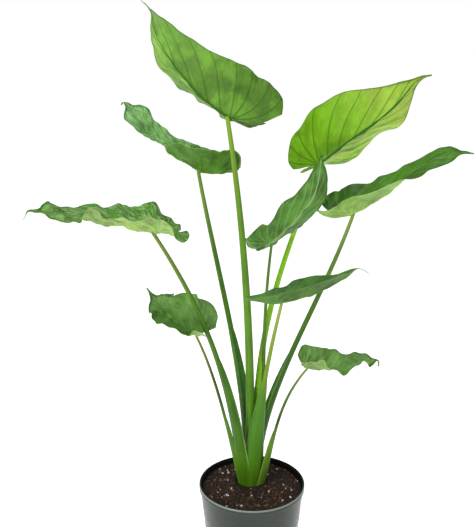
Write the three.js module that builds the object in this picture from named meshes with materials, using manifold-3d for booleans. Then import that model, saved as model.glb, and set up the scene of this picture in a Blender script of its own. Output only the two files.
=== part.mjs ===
// Alocasia in a plastic nursery pot. Millimetres, +Z up, the front of the plant towards -Y.
// The origin is the centre of the pot's flat underside.
import * as THREE from "three";
import { mergeVertices } from "three/addons/utils/BufferGeometryUtils.js";
import Module from "manifold-3d";

const wasm = await Module();
wasm.setup();

// Clear space left between pieces that touch.
const GAP = 0.3;
// Faces closer together than this are joined after a cut.
const SLIVER = 0.02;

// Pot
const POT_HEIGHT = 150;
const RIM_RADIUS = 85;
const LIP_HEIGHT = 9;
const LIP_OUT = 1.5;
const POT_BASE_RADIUS = 69;
const POT_WALL = 2;
const POT_FLOOR = 3;
const FOOT_BEVEL = 2.5;
const DRAIN_HOLES = 8;
const DRAIN_RADIUS = 5;
const DRAIN_AT = 54;
const ROUND_SIDES = 48;

// Soil
const SOIL_BELOW_RIM = 9;
const SOIL_RELIEF = 2.2;
const LUMPS = 12;
const PERLITE = 12;

// The stems leave the soil in one clump, which stands in a plain oval hole on the rootstock.
const CLUMP_AT = [-1, 20];
const CLUMP_HALF = [25, 24];
const HOLE_DEPTH = 40;
const CROWN_Z = 131;
const ROOT_HEIGHT = 22;

// Leaf blades
const BLADE_THICK = 1.3;
const MARGIN_THICK = 0.8;
const TAIL_THICK = 0.65;
const MIDRIB_DEPTH = 2.2;
const RIBS = 21;
const SINUS_DEPTH = 7;
const TAIL_WIDTH = 1.4;

// Stems
const STATIONS = 17;
const OUTER_POINTS = 7;
const INNER_POINTS = 5;
const SHEATH_EDGE = 1.6;
const SHOULDER_WRAP = 108;
// Length that each stem is made too long at its foot, before it is cut level on the rootstock.
const FOOT_SPARE = 10;

const SKIN = {
  pot: 0x27302b,
  soil: 0x3b2a20,
  rootstock: 0x6b4a33,
  stem: 0x6f9a3a,
  leaf: 0x3f7a35,
};

// Leaves, each with its stem. attach is the stem's end under the blade. Angles are in degrees: heading turns
// the blade about the vertical from +X, pitch raises its tip, roll tips it about its midrib.
const LEAVES = {
  crown: {
    attach: [-38, 0, 737],
    length: 226,
    halfWidth: 84,
    lobes: 1.1,
    heading: 198,
    pitch: 34,
    roll: 38,
    twist: -16,
    spine: [-40, 27, 62, 40],
    sway: [-2, -17, -60],
    waves: 2.6,
    left: {
      lift: [43, 52, 42, 30, 19, -2],
      curl: [22, 25, 15, -2, -12, -26],
      span: [0.92, 0.9, 0.84, 0.78, 0.86, 1.04],
      wave: -4,
      phase: -0.1,
    },
    right: {
      lift: [53, 41, 30, 14, -10, -19],
      curl: [-21, 1, 12, 12, 7, -2],
      span: [1.3, 1.17, 0.95, 0.73, 0.63, 0.46],
      wave: -1,
      phase: -0.3,
    },
    stem: {
      foot: [-5, 16],
      footLean: [3, 0, 100],
      footPull: 218,
      headLean: [-15, -4, 99],
      headPull: 200,
      footRadius: 7.6,
      headRadius: 3.1,
      sheathTop: 0.21,
      wrap: 70,
    },
  },
  upper_left: {
    attach: [-83, 55, 651],
    length: 170,
    halfWidth: 63,
    lobes: 0.99,
    heading: 178,
    pitch: 29,
    roll: 13,
    twist: -32,
    spine: [-33, 11, 30, -34],
    sway: [-5, -19, -84],
    waves: 1.7,
    left: {
      lift: [40, 30, 23, 14, 0, -18],
      curl: [11, 2, 0, 1, 7, 9],
      span: [1.06, 0.94, 0.95, 0.97, 0.97, 0.95],
      wave: 1,
      phase: 0.7,
    },
    right: {
      lift: [49, 45, 41, 36, 35, 44],
      curl: [9, 3, 1, 3, 2, 8],
      span: [1.13, 0.84, 0.64, 0.56, 0.69, 1.18],
      wave: 4,
      phase: -2.0,
    },
    stem: {
      foot: [-10, 27],
      footLean: [13, 1, 99],
      footPull: 143,
      headLean: [-16, 9, 98],
      headPull: 144,
      footRadius: 5.6,
      headRadius: 2.7,
      sheathTop: 0.52,
      wrap: 70,
    },
  },
  left: {
    attach: [-145, -45, 580],
    length: 189,
    halfWidth: 67,
    lobes: 0.61,
    heading: 193,
    pitch: 13,
    roll: 6,
    twist: -9,
    spine: [-22, -1, 7, -64],
    sway: [-11, 23, -15],
    waves: 2.1,
    left: {
      lift: [15, 21, 29, 23, 11, -1],
      curl: [-40, -24, -2, -1, -16, -35],
      span: [1.1, 0.9, 0.88, 0.95, 1.07, 1.24],
      wave: 14,
      phase: 1.5,
    },
    right: {
      lift: [-3, 15, 21, 13, 12, 20],
      curl: [27, 21, 13, 3, 4, 5],
      span: [0.98, 1.01, 1.02, 0.98, 1.02, 1.16],
      wave: 7,
      phase: 2.3,
    },
    stem: {
      foot: [-12, 14],
      footLean: [-10, -8, 99],
      footPull: 162,
      headLean: [-47, -22, 85],
      headPull: 202,
      footRadius: 5.6,
      headRadius: 2.6,
      sheathTop: 0.55,
      wrap: 72,
    },
  },
  young: {
    attach: [105, 70, 660],
    length: 211,
    halfWidth: 74,
    lobes: 0.52,
    heading: -4,
    pitch: 39,
    roll: -38,
    twist: -38,
    spine: [-37, -10, 16, -2],
    sway: [-12, 1, 46],
    waves: 1.9,
    left: {
      lift: [30, 25, 20, 18, 19, 23],
      curl: [-20, -12, -5, -1, 2, 1],
      span: [0.85, 0.85, 0.92, 1.05, 1.1, 1.11],
      wave: 10,
      phase: 3.1,
    },
    right: {
      lift: [23, 41, 54, 55, 45, 32],
      curl: [5, 7, 8, 7, 2, -7],
      span: [0.59, 0.83, 1.02, 1.11, 1.09, 0.99],
      wave: -1,
      phase: 1.3,
    },
    stem: {
      foot: [4, 23],
      footLean: [1, -5, 100],
      footPull: 229,
      headLean: [36, 5, 93],
      headPull: 270,
      footRadius: 5.8,
      headRadius: 3.2,
      sheathTop: 0.33,
      wrap: 60,
    },
  },
  middle: {
    attach: [29, 25, 546],
    length: 182,
    halfWidth: 34,
    lobes: 0.79,
    heading: -39,
    pitch: 41,
    roll: -41,
    twist: 2,
    spine: [-35, 15, 29, -40],
    sway: [0, -33, -36],
    waves: 3.0,
    left: {
      lift: [48, 45, 38, 25, 16, 9],
      curl: [-1, -5, -4, -2, -3, -3],
      span: [0.95, 1.04, 1.1, 1.09, 1.05, 1.07],
      wave: 3,
      phase: 1.6,
    },
    right: {
      lift: [31, 18, 9, 16, 24, 29],
      curl: [13, 1, -9, -8, -5, -2],
      span: [0.98, 0.88, 0.93, 1.09, 1.1, 1.19],
      wave: 16,
      phase: 1.4,
    },
    stem: {
      foot: [7, 30],
      footLean: [11, 0, 99],
      footPull: 164,
      headLean: [12, -2, 99],
      headPull: 152,
      footRadius: 3.8,
      headRadius: 2,
      sheathTop: 0.32,
      wrap: 55,
    },
  },
  lower_front: {
    attach: [41, -60, 480],
    length: 147,
    halfWidth: 42,
    lobes: 0.9,
    heading: 5,
    pitch: 8,
    roll: -19,
    twist: -10,
    spine: [-22, 13, 24, -60],
    sway: [13, 17, -16],
    waves: 3.2,
    left: {
      lift: [43, 47, 46, 44, 36, 36],
      curl: [7, 18, 24, 26, 10, -9],
      span: [0.35, 0.6, 0.8, 0.95, 1, 1],
      wave: -6,
      phase: 0.1,
    },
    right: {
      lift: [30, 30, 26, 23, 26, 22],
      curl: [-7, -1, 1, 5, 12, 6],
      span: [0.4, 0.55, 0.68, 0.75, 0.7, 0.55],
      wave: -2,
      phase: -2.5,
    },
    stem: {
      foot: [-1, 5],
      footLean: [5, -1, 100],
      footPull: 121,
      headLean: [18, -24, 95],
      headPull: 133,
      footRadius: 5,
      headRadius: 2.2,
      sheathTop: 0.62,
      wrap: 96,
    },
  },
  right: {
    attach: [149, 10, 595],
    length: 212,
    halfWidth: 49,
    lobes: 0.74,
    heading: -20,
    pitch: 30,
    roll: -2,
    twist: 13,
    spine: [-70, 15, -13, -38],
    sway: [7, -21, -5],
    waves: 3.0,
    left: {
      lift: [65, 55, 41, 25, 18, 26],
      curl: [2, -1, -4, -13, -15, -12],
      span: [1.13, 0.92, 0.89, 0.9, 0.97, 1.18],
      wave: 5,
      phase: 1.4,
    },
    right: {
      lift: [29, 42, 30, 7, -18, -32],
      curl: [-3, 5, 3, 0, -7, -7],
      span: [0.46, 0.65, 0.79, 0.89, 0.91, 0.9],
      wave: 6,
      phase: 0.9,
    },
    stem: {
      foot: [9, 21],
      footLean: [-5, -3, 100],
      footPull: 168,
      headLean: [28, -6, 96],
      headPull: 175,
      footRadius: 5.8,
      headRadius: 2.6,
      sheathTop: 0.52,
      wrap: 80,
    },
  },
  low_right: {
    attach: [85, -25, 362],
    length: 133,
    halfWidth: 39,
    lobes: 0.51,
    heading: 17,
    pitch: -19,
    roll: 20,
    twist: -35,
    spine: [-60, 34, -1, -50],
    sway: [16, -1, 24],
    waves: 1.4,
    left: {
      lift: [47, 41, 34, 23, 15, 24],
      curl: [22, 4, -2, -12, -20, -29],
      span: [1, 0.87, 0.87, 0.92, 0.99, 1.19],
      wave: 18,
      phase: -0.4,
    },
    right: {
      lift: [52, 46, 37, 14, -6, -40],
      curl: [4, -3, -1, 7, 14, 16],
      span: [1.19, 1.11, 1.04, 0.99, 1.1, 1.27],
      wave: 13,
      phase: 1.9,
    },
    stem: {
      foot: [13, 13],
      footLean: [26, -7, 96],
      footPull: 80,
      headLean: [56, -24, 79],
      headPull: 94,
      footRadius: 3.2,
      headRadius: 1.7,
      sheathTop: 0.51,
      wrap: 50,
    },
  },
  low_left: {
    attach: [-89, 5, 405],
    length: 123,
    halfWidth: 55,
    lobes: 0.71,
    heading: 148,
    pitch: 7,
    roll: -29,
    twist: -8,
    spine: [-24, -4, 27, 38],
    sway: [-23, -20, -21],
    waves: 2.0,
    left: {
      lift: [63, 50, 42, 37, 22, 4],
      curl: [-7, 3, 12, 18, 13, 10],
      span: [0.82, 0.75, 0.73, 0.75, 0.91, 1.14],
      wave: 7,
      phase: -0.1,
    },
    right: {
      lift: [32, 50, 61, 65, 52, 29],
      curl: [13, 13, 11, 17, 11, -5],
      span: [0.99, 1.17, 1.11, 1.23, 1.22, 1.23],
      wave: -11,
      phase: -0.6,
    },
    stem: {
      foot: [-16, 19],
      footLean: [-20, 1, 98],
      footPull: 67,
      headLean: [-42, -7, 90],
      headPull: 89,
      footRadius: 3.2,
      headRadius: 1.8,
      sheathTop: 0.52,
      wrap: 50,
    },
  },
};

const STEM_ORDER = ["crown", "young", "middle", "upper_left", "right", "left", "low_left", "low_right", "lower_front"];

const rad = THREE.MathUtils.degToRad;
const { clamp, lerp, smoothstep } = THREE.MathUtils;

// A seeded draw, so that the lumps fall alike each time.
function draws(seed) {
  let state = seed;
  return () => {
    state = (state * 16807) % 2147483647;
    return state / 2147483647;
  };
}

// Value at x on a smooth line through values at rising knots.
function smooth(values, knots, x) {
  const at = clamp(x, knots[0], knots[knots.length - 1]);
  let i = 0;
  while (i < knots.length - 2 && at >= knots[i + 1]) i += 1;
  return lerp(values[i], values[i + 1], smoothstep(at, knots[i], knots[i + 1]));
}

// One closed body from points and triangles, with coincident points joined.
function bodyOf(points, triangles) {
  const raw = new THREE.BufferGeometry();
  raw.setAttribute("position", new THREE.Float32BufferAttribute(points.flatMap((p) => p.toArray()), 3));
  raw.setIndex(triangles.flat());
  return bodyFrom(raw);
}

function bodyFrom(geometry) {
  const bare = new THREE.BufferGeometry();
  bare.setAttribute("position", geometry.getAttribute("position"));
  bare.setIndex(geometry.index);
  const joined = mergeVertices(bare, 1e-3);
  const triVerts = [];
  for (let i = 0; i < joined.index.count; i += 3) {
    const [a, b, c] = [0, 1, 2].map((k) => joined.index.getX(i + k));
    if (a !== b && b !== c && c !== a) triVerts.push(a, b, c);
  }
  const mesh = { numProp: 3, vertProperties: joined.getAttribute("position").array, triVerts: new Uint32Array(triVerts) };
  return new wasm.Manifold(new wasm.Mesh(mesh));
}

// The largest part of a cut body, without the slivers that the cut leaves.
function largest(body) {
  const kept = body.decompose().reduce((a, b) => (b.volume() > a.volume() ? b : a));
  return kept.asOriginal().simplify(SLIVER);
}

// A body with the clear space round it filled in, for cutting a neighbour that meets it.
function swollen(body) {
  const step = 1.3 * GAP;
  const moves = [[step, 0, 0], [-step, 0, 0], [0, step, 0], [0, -step, 0], [0, 0, step], [0, 0, -step]];
  return wasm.Manifold.union([body, ...moves.map((move) => body.translate(move))]);
}

function meshOf(name, body, colour, roughness) {
  const { numProp, vertProperties, triVerts } = body.getMesh();
  const buffer = new THREE.InterleavedBuffer(vertProperties, numProp);
  const geometry = new THREE.BufferGeometry();
  geometry.setAttribute("position", new THREE.InterleavedBufferAttribute(buffer, 3, 0));
  geometry.setIndex(new THREE.BufferAttribute(triVerts, 1));
  const flat = geometry.toNonIndexed();
  flat.computeVertexNormals();
  const mesh = new THREE.Mesh(flat, new THREE.MeshStandardMaterial({ color: colour, roughness, side: THREE.DoubleSide }));
  mesh.name = name;
  return mesh;
}

// ---------------------------------------------------------------- leaf blades

// Half of the flat outline, from the end of the lobe behind the stem to the tip of the tail:
// shares of the length ahead of the stem, and shares of the half width.
const HALF_OUTLINE = [
  [-0.4, 0.3],
  [-0.4, 0.62],
  [-0.26, 0.9],
  [-0.02, 1],
  [0.22, 0.93],
  [0.44, 0.75],
  [0.64, 0.5],
  [0.79, 0.25],
  [0.87, 0.08],
  [1, 0],
];
// The first third of the outline is reached by ribs that fan out of the stem's end.
const FAN_SHARE = 1 / 3;
// Shares of the rib's length where the blade bends, from the midrib to the margin.
const ACROSS = [0, 0.06, 0.28, 0.52, 0.76, 1];
// Shares of the length that the midrib's angles belong to (lobes, stem, middle, tip, tail), and those that
// a wing's lists belong to.
const MIDRIB_AT = [-0.4, 0, 0.4, 0.8, 1];
const WING_AT = [-0.4, 0, 0.2, 0.4, 0.6, 0.8];

// Share of the length from which the two wings flatten out into one narrow tail.
const TAIL_FROM = 0.82;

// The midrib's path: points and directions at every hundredth of the length.
function midrib(leaf) {
  const { length, spine, sway } = leaf;
  const from = -45;
  const rows = [];
  for (let i = from; i <= 100; i += 1) {
    const share = i / 100;
    const up = rad(smooth([spine[0], 0, spine[1], spine[2], spine[3]], MIDRIB_AT, share));
    const side = rad(smooth([0, 0, ...sway], MIDRIB_AT, share));
    const along = new THREE.Vector3(Math.cos(up) * Math.cos(side), Math.cos(up) * Math.sin(side), Math.sin(up));
    rows.push({ along, at: new THREE.Vector3() });
  }
  for (let i = 1; i < rows.length; i += 1) {
    const step = rows[i].along.clone().add(rows[i - 1].along).multiplyScalar(length / 200);
    rows[i].at.copy(rows[i - 1].at).add(step);
  }
  const stemEnd = rows[-from].at.clone();
  rows.forEach((row) => row.at.sub(stemEnd));
  return (share) => {
    const at = clamp(share * 100 - from, 0, rows.length - 1.001);
    const low = rows[Math.floor(at)];
    const high = rows[Math.floor(at) + 1];
    const part = at - Math.floor(at);
    return {
      at: low.at.clone().lerp(high.at, part),
      along: low.along.clone().lerp(high.along, part).normalize(),
    };
  };
}

// A point of the blade's upper face: x along the midrib, y out from it on the left or right wing.
function bladePoint(leaf, path, wing, side, x, y) {
  const share = x / leaf.length;
  const { at, along } = path(share);
  const across = new THREE.Vector3(-along.y, along.x, 0).normalize();
  const up = along.clone().cross(across);
  const turn = rad(leaf.twist) * clamp(share, -0.4, 1);
  const outward = across.clone().multiplyScalar(Math.cos(turn)).addScaledVector(up, Math.sin(turn));
  const over = up.clone().multiplyScalar(Math.cos(turn)).addScaledVector(across, -Math.sin(turn));
  const out = y / leaf.halfWidth;
  const swell = rad(wing.wave) * Math.sin(2 * Math.PI * leaf.waves * share + wing.phase) * Math.min(out, 1);
  const spread = 1 - clamp((share - TAIL_FROM) / 0.1, 0, 1);
  const start = (rad(smooth(wing.lift, WING_AT, share)) + swell) * spread;
  const bend = rad(smooth(wing.curl, WING_AT, share)) / leaf.halfWidth || 1e-6;
  const width = (Math.sin(start + bend * y) - Math.sin(start)) / bend;
  const height = (Math.cos(start) - Math.cos(start + bend * y)) / bend;
  return at.addScaledVector(outward, side * width).addScaledVector(over, height);
}

// The upper face of a blade as a grid of ribs, with each point's thickness.
function bladeFace(leaf) {
  const outline = new THREE.SplineCurve(HALF_OUTLINE.map(([x, y]) => new THREE.Vector2(x, y)));
  const path = midrib(leaf);
  const points = [];
  const thick = [];
  const triangles = [];
  for (const [side, wing] of [[1, leaf.left], [-1, leaf.right]]) {
    const first = points.length;
    for (let i = 0; i < RIBS; i += 1) {
      const q = i / (RIBS - 1);
      const end = outline.getPoint(q);
      const ahead = end.x * leaf.length * (end.x < 0 ? leaf.lobes : 1);
      const wide = leaf.halfWidth * smooth(wing.span, WING_AT, ahead / leaf.length);
      end.set(ahead, Math.max(end.y * wide, TAIL_WIDTH));
      const start = Math.pow(clamp((q - FAN_SHARE) / (1 - FAN_SHARE), 0, 1), 1.15);
      const root = lerp(-SINUS_DEPTH, leaf.length, start);
      for (const share of ACROSS) {
        const x = lerp(root, end.x, share);
        points.push(bladePoint(leaf, path, wing, side, x, end.y * share));
        const slim = clamp((x / leaf.length - 0.6) / 0.25, 0, 1);
        const keel = share === 0 ? MIDRIB_DEPTH * Math.pow(clamp(1 - x / leaf.length, 0, 1), 0.7) : 0;
        thick.push(lerp(lerp(BLADE_THICK, MARGIN_THICK, share) + keel, TAIL_THICK, slim));
      }
    }
    const row = ACROSS.length;
    for (let i = 0; i < RIBS - 1; i += 1) {
      for (let j = 0; j < row - 1; j += 1) {
        const a = first + i * row + j;
        const [b, c, d] = [a + 1, a + row + 1, a + row];
        if (side > 0) triangles.push([a, d, c], [a, c, b]);
        else triangles.push([a, c, d], [a, b, c]);
      }
    }
  }
  const raw = new THREE.BufferGeometry();
  raw.setAttribute("position", new THREE.Float32BufferAttribute(points.flatMap((p) => p.toArray()), 3));
  raw.setAttribute("thick", new THREE.Float32BufferAttribute(thick, 1));
  raw.setIndex(triangles.flat());
  const face = mergeVertices(raw, 1e-3);
  face.computeVertexNormals();
  return face;
}

// The blade as a closed body: the upper face, the same triangles below it, and a rim between them.
function bladeBody(leaf) {
  const face = bladeFace(leaf);
  const count = face.getAttribute("position").count;
  const upper = [];
  const lower = [];
  for (let i = 0; i < count; i += 1) {
    const at = new THREE.Vector3().fromBufferAttribute(face.getAttribute("position"), i);
    const normal = new THREE.Vector3().fromBufferAttribute(face.getAttribute("normal"), i);
    upper.push(at);
    lower.push(at.clone().addScaledVector(normal, -face.getAttribute("thick").getX(i)));
  }
  const triangles = [];
  const edges = new Map();
  for (let i = 0; i < face.index.count; i += 3) {
    const [a, b, c] = [0, 1, 2].map((k) => face.index.getX(i + k));
    if (a === b || b === c || c === a) continue;
    triangles.push([a, b, c], [a + count, c + count, b + count]);
    for (const [p, q] of [[a, b], [b, c], [c, a]]) {
      if (edges.has(q * count + p)) edges.delete(q * count + p);
      else edges.set(p * count + q, [p, q]);
    }
  }
  for (const [p, q] of edges.values()) {
    triangles.push([q, p, p + count], [q, p + count, q + count]);
  }
  const turn = new THREE.Euler(rad(leaf.roll), rad(-leaf.pitch), rad(leaf.heading), "ZYX");
  const place = new THREE.Matrix4().makeRotationFromEuler(turn).setPosition(...leaf.attach);
  return bodyOf([...upper, ...lower].map((p) => p.applyMatrix4(place)), triangles);
}

// ---------------------------------------------------------------- stems

// Section of a stem in its own plane, x away from the plant's middle. It is a round rod that opens, as
// open goes from 0 to 1, into a sheath: an arc about the plant's middle, thick at its back and thin at its edges.
function stemRing(radius, reach, wrap, open, grow) {
  const ring = [];
  const put = (round, bow, wall) => {
    const rod = new THREE.Vector2(Math.cos(round), Math.sin(round)).multiplyScalar(radius);
    const arc = new THREE.Vector2(Math.cos(bow), Math.sin(bow)).multiplyScalar(reach - wall);
    arc.x -= reach - radius;
    ring.push(rod.lerp(arc, open));
  };
  for (let k = 0; k < OUTER_POINTS; k += 1) {
    const u = (2 * k) / (OUTER_POINTS - 1) - 1;
    put(rad(115) * u, wrap * u, 0);
  }
  for (let k = 0; k < INNER_POINTS; k += 1) {
    const u = 1 - (2 * k) / (INNER_POINTS - 1);
    const wall = lerp(SHEATH_EDGE + 2 * grow, 2 * radius, Math.cos((u * Math.PI) / 2));
    put(Math.PI - rad(50) * u, wrap * u, wall);
  }
  return ring;
}

// Shares of the stem's length where it has a ring: closer together below the shoulder of the sheath.
function stemStations(sheathTop) {
  const below = Math.round(STATIONS * 0.42);
  const shares = [];
  for (let k = 0; k < below; k += 1) shares.push(sheathTop * (1 - Math.pow(1 - k / below, 1.5)));
  for (let k = 0; k <= STATIONS - 1 - below; k += 1) {
    shares.push(lerp(sheathTop, 1, k / (STATIONS - 1 - below)));
  }
  return shares;
}

// A stem along its curve. Its rings are level in the sheath, so that they never cross, and square to the
// curve further up.
function stemBody(stem, attach, grow = 0) {
  const foot = new THREE.Vector3(...stem.foot, CROWN_Z - FOOT_SPARE);
  const head = new THREE.Vector3(...attach);
  const rise = new THREE.Vector3(...stem.footLean).normalize().multiplyScalar(stem.footPull);
  const drop = new THREE.Vector3(...stem.headLean).normalize().multiplyScalar(-stem.headPull);
  const line = new THREE.CubicBezierCurve3(foot, foot.clone().add(rise), head.clone().add(drop), head);
  const away = new THREE.Vector3(stem.foot[0] - CLUMP_AT[0], stem.foot[1] - CLUMP_AT[1], 0);
  const reach = away.length() + stem.footRadius;
  away.normalize();
  const sections = [];
  const rings = stemStations(stem.sheathTop).map((share) => {
    const at = line.getPoint(share);
    const tilt = smoothstep(share, stem.sheathTop, stem.sheathTop + 0.3);
    const along = new THREE.Vector3(0, 0, 1).lerp(line.getTangent(share), tilt).normalize();
    const x = away.clone().addScaledVector(along, -away.dot(along)).normalize();
    const y = along.clone().cross(x);
    const open = Math.pow(clamp(1 - share / stem.sheathTop, 0, 1), 0.6);
    const radius = lerp(stem.footRadius, stem.headRadius, Math.pow(share, 1.3)) + grow;
    const bow = lerp(2.2 * stem.footRadius, reach, open);
    const wrap = rad(lerp(SHOULDER_WRAP, stem.wrap, open)) + grow / bow;
    const section = stemRing(radius, bow + grow, wrap, open, grow);
    sections.push(section);
    return section.map((p) => at.clone().addScaledVector(x, p.x).addScaledVector(y, p.y));
  });
  const wide = OUTER_POINTS + INNER_POINTS;
  const points = rings.flat();
  const triangles = [];
  for (let i = 0; i < rings.length - 1; i += 1) {
    for (let j = 0; j < wide; j += 1) {
      const a = i * wide + j;
      const b = i * wide + ((j + 1) % wide);
      triangles.push([a, b, b + wide], [a, b + wide, a + wide]);
    }
  }
  const last = (rings.length - 1) * wide;
  for (const [a, b, c] of THREE.ShapeUtils.triangulateShape(sections[0], [])) {
    triangles.push([a, c, b]);
  }
  for (const [a, b, c] of THREE.ShapeUtils.triangulateShape(sections[sections.length - 1], [])) {
    triangles.push([last + a, last + b, last + c]);
  }
  return bodyOf(points, triangles).trimByPlane([0, 0, 1], CROWN_Z + GAP);
}

// ---------------------------------------------------------------- pot, soil and rootstock

// Radius of the pot's outer wall at a height.
function wallRadius(z) {
  return lerp(POT_BASE_RADIUS, RIM_RADIUS - LIP_OUT, z / POT_HEIGHT);
}

function latheBody(profile) {
  const turned = new THREE.LatheGeometry(profile.map(([r, z]) => new THREE.Vector2(r, z)), ROUND_SIDES);
  return bodyFrom(turned.rotateX(Math.PI / 2));
}

function potBody() {
  const lipFoot = POT_HEIGHT - LIP_HEIGHT;
  const inner = wallRadius(POT_HEIGHT) - POT_WALL;
  const pot = latheBody([
    [0, 0],
    [POT_BASE_RADIUS - FOOT_BEVEL, 0],
    [wallRadius(FOOT_BEVEL), FOOT_BEVEL],
    [wallRadius(lipFoot - 1.5), lipFoot - 1.5],
    [RIM_RADIUS - 0.4, lipFoot],
    [RIM_RADIUS, lipFoot + 1],
    [RIM_RADIUS, POT_HEIGHT - 1.2],
    [RIM_RADIUS - 1, POT_HEIGHT],
    [inner + 0.8, POT_HEIGHT],
    [inner, POT_HEIGHT - 0.8],
    [wallRadius(POT_FLOOR) - POT_WALL, POT_FLOOR],
    [0, POT_FLOOR],
  ]);
  const drill = new THREE.CylinderGeometry(DRAIN_RADIUS, DRAIN_RADIUS, 4 * POT_FLOOR, 16).rotateX(Math.PI / 2);
  let drilled = pot;
  for (let i = 0; i < DRAIN_HOLES; i += 1) {
    const turn = ((i + 0.5) / DRAIN_HOLES) * 2 * Math.PI;
    const hole = bodyFrom(drill).translate([DRAIN_AT * Math.cos(turn), DRAIN_AT * Math.sin(turn), 0]);
    drilled = drilled.subtract(hole);
  }
  return drilled;
}

// Height of the soil's surface: low swells everywhere, a little higher round the stems.
function soilHeight(x, y) {
  const swell = Math.sin(x / 11 + 1.3) * Math.cos(y / 9 - 0.4) + 0.6 * Math.sin((x + y) / 6.5);
  const rise = 2.5 * Math.exp(-((x - CLUMP_AT[0]) ** 2 + (y - CLUMP_AT[1]) ** 2) / 1800);
  return POT_HEIGHT - SOIL_BELOW_RIM + (SOIL_RELIEF / 1.6) * swell * 0.6 + rise;
}

// The clump's plain oval hole, from below the surface of the soil down to its floor.
function clumpHole(margin) {
  const hole = new THREE.CylinderGeometry(1, 1, 2 * HOLE_DEPTH, 40).rotateX(Math.PI / 2);
  hole.scale(CLUMP_HALF[0] + margin, CLUMP_HALF[1] + margin, 1);
  return hole.translate(CLUMP_AT[0], CLUMP_AT[1], CROWN_Z + HOLE_DEPTH - ROOT_HEIGHT);
}

function soilBody() {
  const top = POT_HEIGHT - SOIL_BELOW_RIM;
  const inner = (z) => lerp(wallRadius(POT_FLOOR), wallRadius(POT_HEIGHT), z / POT_HEIGHT) - POT_WALL - GAP - 0.2;
  const rows = 9;
  const points = [new THREE.Vector3(0, 0, 0)];
  const triangles = [];
  for (let row = 1; row <= rows; row += 1) {
    for (let i = 0; i < ROUND_SIDES; i += 1) {
      const turn = (i / ROUND_SIDES) * 2 * Math.PI;
      const r = (inner(top) - 0.4) * Math.sqrt(row / rows);
      points.push(new THREE.Vector3(r * Math.cos(turn), r * Math.sin(turn), 0));
    }
  }
  points.forEach((p) => p.setZ(soilHeight(p.x, p.y)));
  const ringStart = (row) => 1 + (row - 1) * ROUND_SIDES;
  for (let i = 0; i < ROUND_SIDES; i += 1) {
    const next = (i + 1) % ROUND_SIDES;
    triangles.push([0, 1 + i, 1 + next]);
    for (let row = 1; row < rows; row += 1) {
      const [a, b] = [ringStart(row) + i, ringStart(row) + next];
      triangles.push([a, a + ROUND_SIDES, b + ROUND_SIDES], [a, b + ROUND_SIDES, b]);
    }
  }
  const foot = points.length;
  for (let i = 0; i < ROUND_SIDES; i += 1) {
    const turn = (i / ROUND_SIDES) * 2 * Math.PI;
    const r = inner(POT_FLOOR);
    points.push(new THREE.Vector3(r * Math.cos(turn), r * Math.sin(turn), POT_FLOOR + GAP));
  }
  points.push(new THREE.Vector3(0, 0, POT_FLOOR + GAP));
  for (let i = 0; i < ROUND_SIDES; i += 1) {
    const next = (i + 1) % ROUND_SIDES;
    const [a, b] = [ringStart(rows) + i, ringStart(rows) + next];
    triangles.push([a, foot + i, foot + next], [a, foot + next, b]);
    triangles.push([foot + next, foot + i, points.length - 1]);
  }
  let soil = bodyOf(points, triangles).subtract(bodyFrom(clumpHole(0)));
  const draw = draws(20261);
  const lumps = [];
  const rimRoom = inner(top) - 9;
  while (lumps.length < LUMPS + PERLITE) {
    const size = lumps.length < LUMPS ? lerp(3, 6, draw()) : lerp(1.4, 2.4, draw());
    const r = rimRoom * Math.sqrt(draw());
    const turn = 2 * Math.PI * draw();
    const [x, y] = [r * Math.cos(turn), r * Math.sin(turn)];
    const tilt = 2 * Math.PI * draw();
    const clear = Math.hypot((x - CLUMP_AT[0]) / (CLUMP_HALF[0] + size + 1), (y - CLUMP_AT[1]) / (CLUMP_HALF[1] + size + 1));
    if (clear < 1) continue;
    const grain = new THREE.IcosahedronGeometry(size, 0).scale(1, 0.8, 0.7).rotateZ(tilt);
    lumps.push(bodyFrom(grain).translate([x, y, soilHeight(x, y) + size * 0.1]));
  }
  return largest(soil.add(wasm.Manifold.union(lumps)));
}

// The buried rootstock fills the foot of the clump's hole and carries every stem.
function rootBody() {
  const root = new THREE.CylinderGeometry(1, 0.86, ROOT_HEIGHT - GAP, 32).rotateX(Math.PI / 2);
  root.scale(CLUMP_HALF[0] - GAP, CLUMP_HALF[1] - GAP, 1);
  root.translate(CLUMP_AT[0], CLUMP_AT[1], CROWN_Z - (ROOT_HEIGHT - GAP) / 2);
  return bodyFrom(root);
}

// ---------------------------------------------------------------- assembly

const group = new THREE.Group();
group.name = "alocasia_stingray";

const root = rootBody();

// Stems from the middle of the clump outwards: each later one gives way to those before it.
let taken = null;
for (const name of STEM_ORDER) {
  const leaf = LEAVES[name];
  const blade = bladeBody(leaf);
  let stem = stemBody(leaf.stem, leaf.attach);
  if (taken) stem = largest(stem.subtract(taken));
  const own = stemBody(leaf.stem, leaf.attach, GAP);
  taken = taken ? taken.add(own) : own;
  stem = largest(stem.subtract(swollen(blade)));
  group.add(meshOf("stem_" + name, stem, SKIN.stem, 0.5));
  group.add(meshOf("leaf_" + name, blade, SKIN.leaf, 0.45));
}

group.add(meshOf("rootstock", root, SKIN.rootstock, 0.9));
group.add(meshOf("soil", soilBody(), SKIN.soil, 0.95));
group.add(meshOf("nursery_pot", potBody(), SKIN.pot, 0.35));

export default group;
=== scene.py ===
import math

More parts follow.
